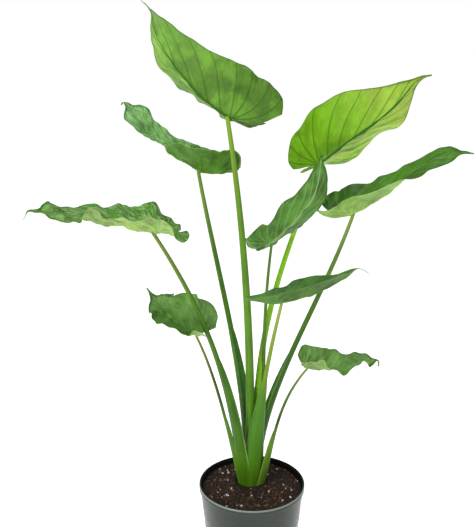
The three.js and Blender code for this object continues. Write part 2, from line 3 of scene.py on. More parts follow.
import bmesh
import bpy
import numpy as np
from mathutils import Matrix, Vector


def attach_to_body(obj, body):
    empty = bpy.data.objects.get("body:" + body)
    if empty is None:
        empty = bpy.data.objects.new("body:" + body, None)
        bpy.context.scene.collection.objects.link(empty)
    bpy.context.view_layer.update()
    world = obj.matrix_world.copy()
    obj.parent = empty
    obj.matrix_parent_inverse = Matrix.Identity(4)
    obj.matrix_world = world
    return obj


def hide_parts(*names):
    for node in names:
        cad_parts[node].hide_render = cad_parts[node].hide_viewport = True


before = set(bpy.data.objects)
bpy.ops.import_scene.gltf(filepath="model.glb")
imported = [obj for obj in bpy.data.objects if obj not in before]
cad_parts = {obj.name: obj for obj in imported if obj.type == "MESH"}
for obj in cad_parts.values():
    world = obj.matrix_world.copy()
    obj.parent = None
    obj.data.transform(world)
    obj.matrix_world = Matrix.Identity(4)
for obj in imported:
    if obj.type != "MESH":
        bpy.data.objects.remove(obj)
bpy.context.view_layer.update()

scene = bpy.context.scene

# ---------------------------------------------------------------- camera
# It stands a little over a metre in front of the plant, level with its crown, and looks slightly down.

CAMERA_AT = (-0.024, -1.214, 0.885)
CAMERA_LOOKS_DOWN = 16.8
SENSOR_WIDTH = 36
LENS = 58.06

camera = bpy.data.objects.new("camera", bpy.data.cameras.new("camera"))
scene.collection.objects.link(camera)
camera.location = CAMERA_AT
camera.rotation_euler = (math.radians(90 - CAMERA_LOOKS_DOWN), 0, 0)
camera.data.sensor_width = SENSOR_WIDTH
camera.data.lens = LENS
camera.data.clip_end = 60
scene.camera = camera

# ---------------------------------------------------------------- leaf blades
# Nine leaves of one plant, each a single thin blade of living tissue. Two rounded lobes spread behind the
# stem like wings, and the tip runs out into a narrow tail. A midrib stands out under the blade as a keel,
# side veins run from it to the margin, and the tissue swells up a little between them.

MM = 0.001

# Sizes in millimetres and angles in degrees. attach is the stem's end. Lists of angles go from the
# lobes to the tail. These values, and those of the stems, were found by a fitting program and rounded.
# upper and under hold each face's colours and strengths, in the order of FACE_COLOURS and FACE_STRENGTHS.
LEAVES = {
    "crown": dict(
        attach=(-38, 0, 737), length=226, half_width=84, lobes=1.1, puff=0.9, crinkle=0.6,
        heading=198, pitch=34, roll=38, twist=-16, waves=2.6,
        spine=[-40, 27, 62, 40], sway=[-2, -17, -60],
        left=dict(lift=[43, 52, 42, 30, 19, -2], curl=[22, 25, 15, -2, -12, -26],
            span=[0.92, 0.9, 0.84, 0.78, 0.86, 1.04], wave=-4, phase=-0.1),
        right=dict(lift=[53, 41, 30, 14, -10, -19], curl=[-21, 1, 12, 12, 7, -2],
            span=[1.3, 1.17, 0.95, 0.73, 0.63, 0.46], wave=-1, phase=-0.3),
        upper=(0x619d34, 0x436f22, 0x709846, 0x66933a, 0x467a1e, 0.2, 0.1, 0.4, 0, 0.75, 0.15),
        # The dark vein colour on this under face is painted shade beside the raised veins and midrib.
        under=(0x72aa37, 0x4f7825, 0x9ac05e, 0x2d5e06, 0x215506, 0.6, 0.1, 0.42, 0, 0.9, 0.1)),
    "upper_left": dict(
        attach=(-83, 55, 651), length=170, half_width=63, lobes=0.99, puff=1.4, crinkle=1.7,
        heading=178, pitch=29, roll=13, twist=-32, waves=1.7,
        spine=[-33, 11, 30, -34], sway=[-5, -19, -84],
        left=dict(lift=[40, 30, 23, 14, 0, -18], curl=[11, 2, 0, 1, 7, 9],
            span=[1.06, 0.94, 0.95, 0.97, 0.97, 0.95], wave=1, phase=0.7),
        right=dict(lift=[49, 45, 41, 36, 35, 44], curl=[9, 3, 1, 3, 2, 8],
            span=[1.13, 0.84, 0.64, 0.56, 0.69, 1.18], wave=4, phase=-2.0),
        # The strong pale streaks on this upper face are painted silvery highlights along the crinkles.
        upper=(0x82d161, 0x5b9543, 0xb5d79e, 0x93be7a, 0x2d6b06, 0.2, 0.8, 0.36),
        under=(0x4d8907, 0x356003, 0x668e2d, 0x70983a, 0x84ab5c, 0.2, 0.15, 0.42)),
    "left": dict(
        attach=(-145, -45, 580), length=189, half_width=67, lobes=0.61, puff=1.8, crinkle=2.3,
        heading=193, pitch=13, roll=6, twist=-9, waves=2.1,
        spine=[-22, -1, 7, -64], sway=[-11, 23, -15],
        left=dict(lift=[15, 21, 29, 23, 11, -1], curl=[-40, -24, -2, -1, -16, -35],
            span=[1.1, 0.9, 0.88, 0.95, 1.07, 1.24], wave=14, phase=1.5),
        right=dict(lift=[-3, 15, 21, 13, 12, 20], curl=[27, 21, 13, 3, 4, 5],
            span=[0.98, 1.01, 1.02, 0.98, 1.02, 1.16], wave=7, phase=2.3),
        # The strong pale streaks on this upper face are painted silvery highlights along the crinkles.
        upper=(0x5faa27, 0x417819, 0xa7cc84, 0x93bc6e, 0x1e5c06, 0.3, 0.8, 0.36),
        under=(0x96bd5c, 0x6a8640, 0xabc37a, 0xb5cd84, 0xa1be70, 0.3, 0.3, 0.42)),
    "young": dict(
        attach=(105, 70, 660), length=211, half_width=74, lobes=0.52, puff=0.9, crinkle=0.7,
        heading=-4, pitch=39, roll=-38, twist=-38, waves=1.9,
        spine=[-37, -10, 16, -2], sway=[-12, 1, 46],
        left=dict(lift=[30, 25, 20, 18, 19, 23], curl=[-20, -12, -5, -1, 2, 1],
            span=[0.85, 0.85, 0.92, 1.05, 1.1, 1.11], wave=10, phase=3.1),
        right=dict(lift=[23, 41, 54, 55, 45, 32], curl=[5, 7, 8, 7, 2, -7],
            span=[0.59, 0.83, 1.02, 1.11, 1.09, 0.99], wave=-1, phase=1.3),
        upper=(0x74b307, 0x517f03, 0x8eb546, 0xabc85c, 0x518406, 0.25, 0.2, 0.42, 0.8, 0, 0.5),
        # The dark vein colour on this under face is painted shade beside the raised veins and midrib.
        under=(0x74b307, 0x517f03, 0xb9d355, 0x326c06, 0x3f6606, 0.65, 0.1, 0.42, 0.95, 0, 0.6)),
    "middle": dict(
        attach=(29, 25, 546), length=182, half_width=34, lobes=0.79, puff=1.2, crinkle=0.9,
        heading=-39, pitch=41, roll=-41, twist=2, waves=3.0,
        spine=[-35, 15, 29, -40], sway=[0, -33, -36],
        left=dict(lift=[48, 45, 38, 25, 16, 9], curl=[-1, -5, -4, -2, -3, -3],
            span=[0.95, 1.04, 1.1, 1.09, 1.05, 1.07], wave=3, phase=1.6),
        right=dict(lift=[31, 18, 9, 16, 24, 29], curl=[13, 1, -9, -8, -5, -2],
            span=[0.98, 0.88, 0.93, 1.09, 1.1, 1.19], wave=16, phase=1.4),
        upper=(0x5c943d, 0x406829, 0x7aa65c, 0x8eb570, 0x2d6106, 0.3, 0.3, 0.38),
        under=(0x588f31, 0x3c6520, 0x7aa65c, 0x8eb570, 0x2d6106, 0.3, 0.3, 0.42)),
    "lower_front": dict(
        attach=(41, -60, 480), length=147, half_width=42, lobes=0.9, puff=0.8, crinkle=0.5,
        heading=5, pitch=8, roll=-19, twist=-10, waves=3.2,
        spine=[-22, 13, 24, -60], sway=[13, 17, -16],
        left=dict(lift=[43, 47, 46, 44, 36, 36], curl=[7, 18, 24, 26, 10, -9],
            span=[0.35, 0.6, 0.8, 0.95, 1, 1], wave=-6, phase=0.1),
        right=dict(lift=[30, 30, 26, 23, 26, 22], curl=[-7, -1, 1, 5, 12, 6],
            span=[0.4, 0.55, 0.68, 0.75, 0.7, 0.55], wave=-2, phase=-2.5),
        upper=(0x508934, 0x376022, 0x5c843a, 0x709851, 0x669346, 0.2, 0.15, 0.38),
        under=(0x558434, 0x3a5d22, 0x709351, 0x7aa15c, 0x669346, 0.25, 0.2, 0.42)),
    "right": dict(
        attach=(149, 10, 595), length=212, half_width=49, lobes=0.74, puff=1, crinkle=0.7,
        heading=-20, pitch=30, roll=-2, twist=13, waves=3.0,
        spine=[-70, 15, -13, -38], sway=[7, -21, -5],
        left=dict(lift=[65, 55, 41, 25, 18, 26], curl=[2, -1, -4, -13, -15, -12],
            span=[1.13, 0.92, 0.89, 0.9, 0.97, 1.18], wave=5, phase=1.4),
        right=dict(lift=[29, 42, 30, 7, -18, -32], curl=[-3, 5, 3, 0, -7, -7],
            span=[0.46, 0.65, 0.79, 0.89, 0.91, 0.9], wave=6, phase=0.9),
        upper=(0x48860f, 0x315e07, 0x669346, 0x7aa65c, 0x1e5606, 0.3, 0.3, 0.36),
        under=(0x92c055, 0x66883a, 0x9db96b, 0xa6c37a, 0x84ab51, 0.35, 0.35, 0.42)),
    "low_right": dict(
        attach=(85, -25, 362), length=133, half_width=39, lobes=0.51, puff=1.4, crinkle=1.8,
        heading=17, pitch=-19, roll=20, twist=-35, waves=1.4,
        spine=[-60, 34, -1, -50], sway=[16, -1, 24],
        left=dict(lift=[47, 41, 34, 23, 15, 24], curl=[22, 4, -2, -12, -20, -29],
            span=[1, 0.87, 0.87, 0.92, 0.99, 1.19], wave=18, phase=-0.4),
        right=dict(lift=[52, 46, 37, 14, -6, -40], curl=[4, -3, -1, 7, 14, 16],
            span=[1.19, 1.11, 1.04, 0.99, 1.1, 1.27], wave=13, phase=1.9),
        upper=(0x98d966, 0x6b9b47, 0x84b15e, 0x98c07a, 0x1e5106, 0.4, 0.5, 0.36),
        under=(0x8bb35c, 0x627f40, 0x93b566, 0xa6c37a, 0x84ab51, 0.3, 0.2, 0.42)),
    "low_left": dict(
        attach=(-89, 5, 405), length=123, half_width=55, lobes=0.71, puff=1.3, crinkle=2,
        heading=148, pitch=7, roll=-29, twist=-8, waves=2.0,
        spine=[-24, -4, 27, 38], sway=[-23, -20, -21],
        left=dict(lift=[63, 50, 42, 37, 22, 4], curl=[-7, 3, 12, 18, 13, 10],
            span=[0.82, 0.75, 0.73, 0.75, 0.91, 1.14], wave=7, phase=-0.1),
        right=dict(lift=[32, 50, 61, 65, 52, 29], curl=[13, 13, 11, 17, 11, -5],
            span=[0.99, 1.17, 1.11, 1.23, 1.22, 1.23], wave=-11, phase=-0.6),
        upper=(0x72a848, 0x4f7731, 0x7aa551, 0x84b15e, 0x1e5606, 0.3, 0.5, 0.36),
        under=(0x8bb35c, 0x627f40, 0x93b566, 0xa6c37a, 0x84ab51, 0.3, 0.2, 0.42)),
}
# The streak colour stands partly for painted sheen, and the dark streaks in the deep green partly for painted
# shade of the crinkles.
FACE_COLOURS = ("Green", "Deep green", "Pale streak and painted sheen colour", "Vein colour and painted vein shade", "Margin colour")
FACE_STRENGTHS = ("Vein strength", "Streak and painted light strength", "Gloss",
                  "Pale left wing", "Pale right wing", "Pale tip")

# Half of the flat outline, from the end of the lobe to the tip of the tail, in shares of length and width.
HALF_OUTLINE = np.array([
    (-0.4, 0.3), (-0.4, 0.62), (-0.26, 0.9), (-0.02, 1), (0.22, 0.93),
    (0.44, 0.75), (0.64, 0.5), (0.79, 0.25), (0.87, 0.08), (1, 0)])
LOBE_SHARE = 1 / 3
MIDRIB_AT = np.array([-0.4, 0, 0.4, 0.8, 1])
WING_AT = np.array([-0.4, 0, 0.2, 0.4, 0.6, 0.8])
SIDE_VEINS = np.array([0.09, 0.2, 0.3, 0.38, 0.475, 0.56, 0.655, 0.745, 0.85])
STEPS_BETWEEN_VEINS = 10
VEIN_SWEEP = 0.05
TAIL_FROM = 0.82
TAIL_FLATTENS_OVER = 0.1
TAIL_HALF_WIDTH = 1.4
SINUS = 7
ROOT_CROWDING = 1.6
MIDRIB_STEPS_AHEAD = 100
MIDRIB_STEPS_BEHIND = 45
RIGHT_WING_UV = 4

# What the finish adds to the smooth blade, in millimetres. The keel's fading is in shares of the length.
CREASES = (46, 31, 22, 15)
SMOOTH_NEAR_STEM = 40
VEIN_WIDTH = 0.9
VEIN_GROOVE = 0.3
VEIN_RIDGE = 0.5
VEINS_FADE_OVER = 12
MIDRIB_GROOVE = 0.5
MIDRIB_GROOVE_WIDTH = 1.6
KEEL_HEIGHT = 2.2
KEEL_WIDTH = 2.1
KEEL_FADES_FROM = 0.6
KEEL_FADES_OVER = 0.25
MARGIN_THICK = 0.45
BODY_THICKER_BY = 0.45
MARGIN_THINS_OVER = 8

OUTWARD = np.array([0, 0.006, 0.014, 0.024, 0.038, 0.058, 0.085, 0.12, 0.16, 0.205, 0.255, 0.305, 0.36, 0.415,
                    0.47, 0.525, 0.58, 0.635, 0.69, 0.745, 0.8, 0.85, 0.895, 0.93, 0.955, 0.975, 0.99, 1])


def eased(values, at, x):
    """A smooth line through values, level at each of the places at."""
    x = np.clip(x, at[0], at[-1])
    i = np.clip(np.searchsorted(at, x, side="right") - 1, 0, len(at) - 2)
    part = (x - at[i]) / (at[i + 1] - at[i])
    part = part * part * (3 - 2 * part)
    values = np.asarray(values, float)
    return values[i] * (1 - part) + values[i + 1] * part


def outline_at(q):
    """Point of the half outline at share q of it, on a smooth curve through its corners."""
    last = len(HALF_OUTLINE) - 1
    s = np.clip(q, 0, 1) * last
    i = np.minimum(s.astype(int), last - 1)
    w = (s - i)[..., None]
    before, here = HALF_OUTLINE[np.maximum(i - 1, 0)], HALF_OUTLINE[i]
    there, after = HALF_OUTLINE[i + 1], HALF_OUTLINE[np.minimum(i + 2, last)]
    leave, arrive = (there - before) / 2, (after - here) / 2
    cubic = (2 * here - 2 * there + leave + arrive) * w ** 3
    return cubic + (3 * there - 3 * here - 2 * leave - arrive) * w ** 2 + leave * w + here


def turned_by(first, second, angle):
    """The two directions turned by angle in their own plane."""
    c, s = np.cos(angle)[..., None], np.sin(angle)[..., None]
    return first * c + second * s, second * c - first * s


def wing(leaf, side, q, v):
    """Upper face of one wing, in millimetres. q runs round the margin, v out from the midrib."""
    length, half_width = leaf["length"], leaf["half_width"]
    end = outline_at(q) * (length, half_width)
    end[..., 0] *= np.where(end[..., 0] < 0, leaf["lobes"], 1)
    form = leaf["left" if side > 0 else "right"]
    span = eased(form["span"], WING_AT, end[..., 0] / length)
    end[..., 1] = np.maximum(end[..., 1] * span, TAIL_HALF_WIDTH)
    root = np.clip((q - LOBE_SHARE) / (1 - LOBE_SHARE), 0, 1) ** ROOT_CROWDING * (length + SINUS) - SINUS
    x = root * (1 - v) + end[..., 0] * v
    y = end[..., 1] * v

    steps = MIDRIB_STEPS_BEHIND + MIDRIB_STEPS_AHEAD
    share = np.linspace(-MIDRIB_STEPS_BEHIND / MIDRIB_STEPS_AHEAD, 1, steps + 1)
    spine, sway = leaf["spine"], leaf["sway"]
    up = np.radians(eased([spine[0], 0, *spine[1:]], MIDRIB_AT, share))
    across = np.radians(eased([0, 0, *sway], MIDRIB_AT, share))
    along = np.stack([np.cos(up) * np.cos(across), np.cos(up) * np.sin(across), np.sin(up)], -1)
    moves = (along[1:] + along[:-1]) * length / (2 * MIDRIB_STEPS_AHEAD)
    path = np.concatenate([[[0, 0, 0]], np.cumsum(moves, 0)])
    path -= path[MIDRIB_STEPS_BEHIND]
    ahead = x / length
    midrib = np.stack([np.interp(ahead, share, path[:, k]) for k in range(3)], -1)
    along = np.stack([np.interp(ahead, share, along[:, k]) for k in range(3)], -1)
    along /= np.linalg.norm(along, axis=-1, keepdims=True)
    out = np.stack([-along[..., 1], along[..., 0], np.zeros_like(ahead)], -1)
    out /= np.linalg.norm(out, axis=-1, keepdims=True)
    out, over = turned_by(out, np.cross(along, out), np.radians(leaf["twist"]) * np.clip(ahead, -0.4, 1))

    wave = form["wave"] * np.sin(2 * np.pi * leaf["waves"] * ahead + form["phase"])
    swell = wave * np.clip(y / half_width, 0, 1)
    flat = np.clip((ahead - TAIL_FROM) / TAIL_FLATTENS_OVER, 0, 1)
    start = np.radians(eased(form["lift"], WING_AT, ahead) + swell) * (1 - flat)
    bend = np.radians(eased(form["curl"], WING_AT, ahead)) / half_width
    bend = np.where(np.abs(bend) < 1e-6, 1e-6, bend)
    reach = (np.sin(start + bend * y) - np.sin(start)) / bend
    rise = (np.cos(start) - np.cos(start + bend * y)) / bend
    local = midrib + out * (side * reach)[..., None] + over * rise[..., None]

    heading, pitch, roll = np.radians([leaf["heading"], leaf["pitch"], leaf["roll"]])
    nose = np.array([np.cos(heading) * np.cos(pitch), np.sin(heading) * np.cos(pitch), np.sin(pitch)])
    level = np.array([-np.sin(heading), np.cos(heading), 0])
    back = np.cross(nose, level)
    tilted = level * np.cos(roll) + back * np.sin(roll)
    raised = back * np.cos(roll) - level * np.sin(roll)
    return local @ np.stack([nose, tilted, raised]) + leaf["attach"], x, y


def wing_grid(leaf, side):
    """The wing's points and what its finish needs at each: millimetres to vein, midrib and margin."""
    stops = np.concatenate([[0], SIDE_VEINS, [1]])
    base = np.concatenate([np.linspace(a, b, STEPS_BETWEEN_VEINS, endpoint=False)
                           for a, b in zip(stops[:-1], stops[1:])] + [[1]])
    q0, v = np.meshgrid(base, OUTWARD, indexing="ij")
    q = q0 + VEIN_SWEEP * np.sin(np.pi * q0) * v ** 2
    points, x, y = wing(leaf, side, q, v)
    step = 1e-4
    along_margin = (wing(leaf, side, q + step * (q < 0.5) * 2 - step, v)[0] - points)
    along_margin /= (step * (q < 0.5) * 2 - step)[..., None]
    outward = wing(leaf, side, q, np.minimum(v + step, 1 + step))[0] - points
    outward /= np.linalg.norm(outward, axis=-1, keepdims=True) + 1e-9
    spread = np.linalg.norm(np.cross(along_margin, outward), axis=-1)
    gaps = np.abs(q0[..., None] - SIDE_VEINS)
    nearest = gaps.min(-1)
    to_vein = nearest * spread
    i = np.clip(np.searchsorted(stops, q0, side="right") - 1, 0, len(stops) - 2)
    between = (q0 - stops[i]) / (stops[i + 1] - stops[i])
    end = outline_at(q)[..., 1] * leaf["half_width"]
    to_margin = (1 - v) * np.maximum(end, 3)
    fullness = 0.75 + 0.5 * np.sin(5.3 * i + side + leaf["heading"])
    swell = fullness * np.sin(np.pi * between) ** 2 * np.sin(np.pi * v) ** 0.8
    swell = swell * np.minimum(spread / 200, 1)
    uv = np.stack([q0 * 10, v * 3 + (RIGHT_WING_UV if side < 0 else 0)], -1)
    return dict(points=points, x=x, y=y, vein=to_vein, margin=to_margin, swell=swell, uv=uv)


def smooth_mesh(name, points, faces):
    """A smoothly shaded mesh from points in millimetres."""
    mesh = bpy.data.meshes.new(name)
    mesh.from_pydata((points * MM).tolist(), [], faces)
    mesh.polygons.foreach_set("use_smooth", [True] * len(mesh.polygons))
    return mesh


def lay_uv(mesh, name, uv):
    """A UV map from one place for each vertex."""
    corner_vertex = np.zeros(len(mesh.loops), np.int32)
    mesh.loops.foreach_get("vertex_index", corner_vertex)
    mesh.uv_layers.new(name=name).data.foreach_set("uv", uv[corner_vertex].astype(np.float32).ravel())


def as_piece(name, data):
    piece = bpy.data.objects.new(name, data)
    scene.collection.objects.link(piece)
    return piece


def blade(name, leaf):
    """One closed blade: the upper face, the same faces under it, and a narrow rim between them."""
    left, right = wing_grid(leaf, 1), wing_grid(leaf, -1)
    rows, columns = left["x"].shape
    count = rows * columns
    merged = {key: np.concatenate([left[key].reshape(count, -1), right[key].reshape(count, -1)])
              for key in left}
    index = np.arange(count).reshape(rows, columns)
    a, b, c, d = index[:-1, :-1], index[:-1, 1:], index[1:, 1:], index[1:, :-1]
    quads = np.stack([a, d, c, b], -1).reshape(-1, 4)
    quads = np.concatenate([quads, quads[:, ::-1] + count])

    key = np.round(merged["points"], 4)
    first, joined = np.unique(key, axis=0, return_index=True, return_inverse=True)[1:]
    joined = joined.reshape(-1)
    merged = {label: value[first] for label, value in merged.items()}
    faces = []
    for quad in joined[quads]:
        corners = [int(p) for k, p in enumerate(quad) if p != quad[k - 1]]
        if len(set(corners)) > 2:
            faces.append(corners)

    points = merged["points"]
    normals = np.zeros_like(points)
    for corners in faces:
        p = points[corners]
        if len(corners) == 4:
            normal = np.cross(p[2] - p[0], p[3] - p[1])
        else:
            normal = np.cross(p[1] - p[0], p[2] - p[0])
        for corner in corners:
            normals[corner] += normal
    normals /= np.linalg.norm(normals, axis=1, keepdims=True) + 1e-12

    x, y, to_vein = merged["x"][:, 0], merged["y"][:, 0], merged["vein"][:, 0]
    to_margin, swell = merged["margin"][:, 0], merged["swell"][:, 0]
    ahead = np.clip(x / leaf["length"], 0, 1)
    fade = np.clip(to_margin / VEINS_FADE_OVER, 0, 1)
    puff = leaf["puff"] * swell
    draw = np.random.default_rng(abs(leaf["heading"]))
    on_right = merged["uv"][:, 1] > RIGHT_WING_UV - 0.5
    across = np.where(on_right, -y, y)
    calm = np.clip(np.hypot(x, y) / SMOOTH_NEAR_STEM, 0, 1)
    for crease in CREASES:
        turn, start = draw.uniform(-0.9, 0.9), draw.uniform(0, 2 * np.pi)
        wave = np.sin(2 * np.pi * (x * np.cos(turn) + across * np.sin(turn)) / crease + start)
        puff += leaf["crinkle"] * crease / CREASES[0] * wave * calm
    near_vein = np.exp(-(to_vein / VEIN_WIDTH) ** 2)
    near_midrib = np.exp(-(y / MIDRIB_GROOVE_WIDTH) ** 2)
    groove = VEIN_GROOVE * near_vein * fade + MIDRIB_GROOVE * near_midrib * (1 - ahead) ** 0.5
    ridge = VEIN_RIDGE * near_vein * fade
    keel_fades = np.clip((ahead - KEEL_FADES_FROM) / KEEL_FADES_OVER, 0, 1)
    keel = KEEL_HEIGHT * (1 - ahead) ** 0.7 * np.exp(-(y / KEEL_WIDTH) ** 2) * (1 - keel_fades)
    thick = MARGIN_THICK + BODY_THICKER_BY * np.clip(to_margin / MARGIN_THINS_OVER, 0, 1)
    upper = points + normals * (puff - groove)[:, None]
    under = points + normals * (puff - thick - ridge - keel)[:, None]

    count = len(points)
    edges = {}
    for corners in faces:
        for k, p in enumerate(corners):
            q = corners[(k + 1) % len(corners)]
            if (q, p) in edges:
                del edges[(q, p)]
            else:
                edges[(p, q)] = True
    below = [[p + count for p in reversed(corners)] for corners in faces]
    rim = [[q, p, p + count, q + count] for p, q in edges]
    mesh = smooth_mesh(name, np.concatenate([upper, under]), faces + below + rim)
    mesh.polygons.foreach_set("material_index", [0] * len(faces) + [1] * (len(below) + len(rim)))
    for label, value in (("to_vein", to_vein), ("to_midrib", y), ("to_margin", to_margin),
                         ("ahead", x / leaf["length"]), ("wing", on_right)):
        data = mesh.attributes.new(label, "FLOAT", "POINT").data
        data.foreach_set("value", np.tile(value, 2).astype(np.float32))
    lay_uv(mesh, "veins", np.tile(merged["uv"], (2, 1)))
    mesh.set_sharp_from_angle(angle=math.radians(60))
    return as_piece(name, mesh)


def shade(code):
    """A colour given as the usual six hex digits, in the linear values that a shader takes."""
    parts = [(code >> shift & 255) / 255 for shift in (16, 8, 0)]
    return (*[p / 12.92 if p < 0.04 else ((p + 0.055) / 1.055) ** 2.4 for p in parts], 1)


def node_group(name, inputs):
    """A shader group that gives a colour, a roughness and a height. An input given as a whole number is a
    colour in hex digits, and one with a point is a plain value."""
    tree = bpy.data.node_groups.new(name, "ShaderNodeTree")
    for label, value in inputs.items():
        kind = "Color" if isinstance(value, int) else "Float"
        socket = tree.interface.new_socket(label, in_out="INPUT", socket_type="NodeSocket" + kind)
        socket.default_value = shade(value) if kind == "Color" else value
    for label, kind in (("Colour", "Color"), ("Roughness", "Float"), ("Height", "Float")):
        tree.interface.new_socket(label, in_out="OUTPUT", socket_type="NodeSocket" + kind)
    return tree, tree.nodes.new("NodeGroupInput").outputs, tree.nodes.new("NodeGroupOutput")


def put(tree, kind, links=None, **settings):
    """A node with its settings, its constant inputs and its links, each input given by name or number."""
    node = tree.nodes.new(kind)
    for key, value in settings.items():
        setattr(node, key, value)
    for key, value in (links or {}).items():
        socket = node.inputs[key]
        if isinstance(value, bpy.types.NodeSocket):
            tree.links.new(value, socket)
        else:
            socket.default_value = value
    return node


def mixed(tree, factor, first, second, blend="MIX"):
    """First colour going over to the second as factor goes from 0 to 1."""
    node = put(tree, "ShaderNodeMix", data_type="RGBA", blend_type=blend,
               links={0: factor, 6: first, 7: second})
    return node.outputs[2]


def fading(tree, value, near, far, top=1.0):
    """top where value is at or under near, and 0 where it is at or over far."""
    node = put(tree, "ShaderNodeMapRange", interpolation_type="SMOOTHSTEP",
               links={"Value": value, "From Min": near, "From Max": far, "To Min": top, "To Max": 0.0})
    return node.outputs["Result"]


def rising(tree, value, near, far):
    """0 where value is at or under near, and 1 where it is at or over far."""
    node = put(tree, "ShaderNodeMapRange", interpolation_type="SMOOTHSTEP",
               links={"Value": value, "From Min": near, "From Max": far})
    return node.outputs["Result"]


def scaled(tree, share, low, high):
    """low where share is 0, and high where it is 1."""
    node = put(tree, "ShaderNodeMapRange", links={"Value": share, "To Min": low, "To Max": high})
    return node.outputs["Result"]


def noise(tree, place, scale, detail, roughness=0.5):
    node = put(tree, "ShaderNodeTexNoise",
               links={"Vector": place, "Scale": scale, "Detail": detail, "Roughness": roughness})
    return node.outputs["Fac"]


def give(tree, result, colour, roughness, height):
    """The group's three results."""
    for label, socket in (("Colour", colour), ("Roughness", roughness), ("Height", height)):
        tree.links.new(socket, result.inputs[label])


def reckon(tree, operation, first, second):
    node = put(tree, "ShaderNodeMath", operation=operation, links={0: first, 1: second})
    return node.outputs[0]


def times(tree, first, second):
    return reckon(tree, "MULTIPLY", first, second)


def place_in(tree):
    return put(tree, "ShaderNodeTexCoord").outputs["Object"]


def measure(tree, name):
    return put(tree, "ShaderNodeAttribute", attribute_name=name).outputs["Fac"]


# Leaf tissue: two greens in soft clouds, pale and dark streaks that run out with the veins, fine veinlets,
# thin side veins, a midrib that narrows towards the tail, and a thin margin. The streaks are partly tissue
# tone and partly painted highlight and painted shade of the crinkles. Where the vein colour is dark, on the
# under faces of crown and young, the veins and midrib carry painted shade beside their raised ridges.
tissue, given, result = node_group("leaf tissue", {
    "Green": 0x5f9a38, "Deep green": 0x3f7423, "Pale streak and painted sheen colour": 0x9cc46c, "Vein colour and painted vein shade": 0xa9cf7c,
    "Margin colour": 0x86b458, "Vein strength": 0.6, "Streak and painted light strength": 0.2, "Gloss": 0.42,
    "Pale left wing": 0.0, "Pale right wing": 0.0, "Pale tip": 0.0})
place = place_in(tissue)
along_veins = put(tissue, "ShaderNodeUVMap", uv_map="veins").outputs[0]
clouds = noise(tissue, place, 21.0, 5.0, 0.62)
mottle = fading(tissue, clouds, 0.38, 0.62)
colour = mixed(tissue, mottle, given["Green"], given["Deep green"])


def run_out(width, length):
    """Noise drawn out along the veins."""
    stretch = put(tissue, "ShaderNodeMapping", links={"Vector": along_veins, "Scale": (width, length, 1.0)})
    return noise(tissue, stretch.outputs[0], 1.0, 3.0, 0.6)


broad, narrow, veinlets = run_out(3.2, 0.9), run_out(9.0, 1.5), run_out(40.0, 3.0)
to_vein, to_midrib, ahead = (measure(tissue, label) for label in ("to_vein", "to_midrib", "ahead"))
# The pale wing stripes, pale tip and pale streaks take the streak colour: partly tissue tone, partly painted
# sheen. The dark streaks are partly deep green tissue, partly painted shade of the crinkles.
pale_wings = {0: measure(tissue, "wing"), 2: given["Pale left wing"], 3: given["Pale right wing"]}
wing_pale = put(tissue, "ShaderNodeMix", links=pale_wings).outputs[0]
pale = times(tissue, wing_pale, fading(tissue, broad, 0.7, 0.35))
pale_tip = times(tissue, fading(tissue, ahead, 0.75, 0.15), given["Pale tip"])
streak_and_shade_contrast = reckon(tissue, "ADD", times(tissue, given["Streak and painted light strength"], 0.9), 0.15)
dark_streak_and_painted_shade = times(tissue, fading(tissue, broad, 0.38, 0.56), streak_and_shade_contrast)
pale_streak_and_painted_sheen = times(tissue, fading(tissue, narrow, 0.6, 0.46), given["Streak and painted light strength"])
line = fading(tissue, veinlets, 0.4, 0.6, 0.18)
# Vein and midrib marks: a pale vein colour on most faces, and painted shade beside the raised veins where the
# vein colour is dark.
on_vein = times(tissue, fading(tissue, to_vein, 0.4, 1.7), given["Vein strength"])
reach = reckon(tissue, "SUBTRACT", 1.9, times(tissue, ahead, 1.3))
on_midrib = put(tissue, "ShaderNodeMapRange", interpolation_type="SMOOTHSTEP",
                links={"Value": to_midrib, "From Min": 0.4, "From Max": reach, "To Min": 1.0, "To Max": 0.0})
midrib_strength = reckon(tissue, "ADD", given["Vein strength"], 0.35)
on_midrib = times(tissue, on_midrib.outputs["Result"], midrib_strength)
on_margin = fading(tissue, measure(tissue, "to_margin"), 0.5, 1.5, 0.7)
for amount, label in ((pale, "Pale streak and painted sheen colour"), (pale_tip, "Pale streak and painted sheen colour"), (dark_streak_and_painted_shade, "Deep green"),
                      (pale_streak_and_painted_sheen, "Pale streak and painted sheen colour"), (line, "Deep green"), (on_vein, "Vein colour and painted vein shade"),
                      (on_midrib, "Vein colour and painted vein shade"), (on_margin, "Margin colour")):
    colour = mixed(tissue, amount, colour, given[label])
rough = put(tissue, "ShaderNodeMapRange",
            links={"Value": clouds, "From Min": 0.3, "From Max": 0.7, "To Min": given["Gloss"],
                   "To Max": reckon(tissue, "ADD", given["Gloss"], 0.14)})
streak_relief = times(tissue, given["Streak and painted light strength"], 14.0)
height = reckon(tissue, "ADD", times(tissue, line, -1.2), times(tissue, narrow, streak_relief))
give(tissue, result, colour, rough.outputs["Result"], height)


def finish(name, group, values, relief, **constants):
    """A material: the named group drives one Principled BSDF, whose other inputs are plain constants."""
    material = bpy.data.materials.new(name)
    material.use_nodes = True
    tree = material.node_tree
    tree.nodes.clear()
    body = put(tree, "ShaderNodeGroup", node_tree=group, links=values)
    bump = put(tree, "ShaderNodeBump",
               links={"Strength": 0.6, "Distance": relief, "Height": body.outputs["Height"]})
    skin = put(tree, "ShaderNodeBsdfPrincipled",
               links={"Base Color": body.outputs["Colour"], "Roughness": body.outputs["Roughness"],
                      "Normal": bump.outputs[0], **constants})
    put(tree, "ShaderNodeOutputMaterial", links={"Surface": skin.outputs[0]})
    return material


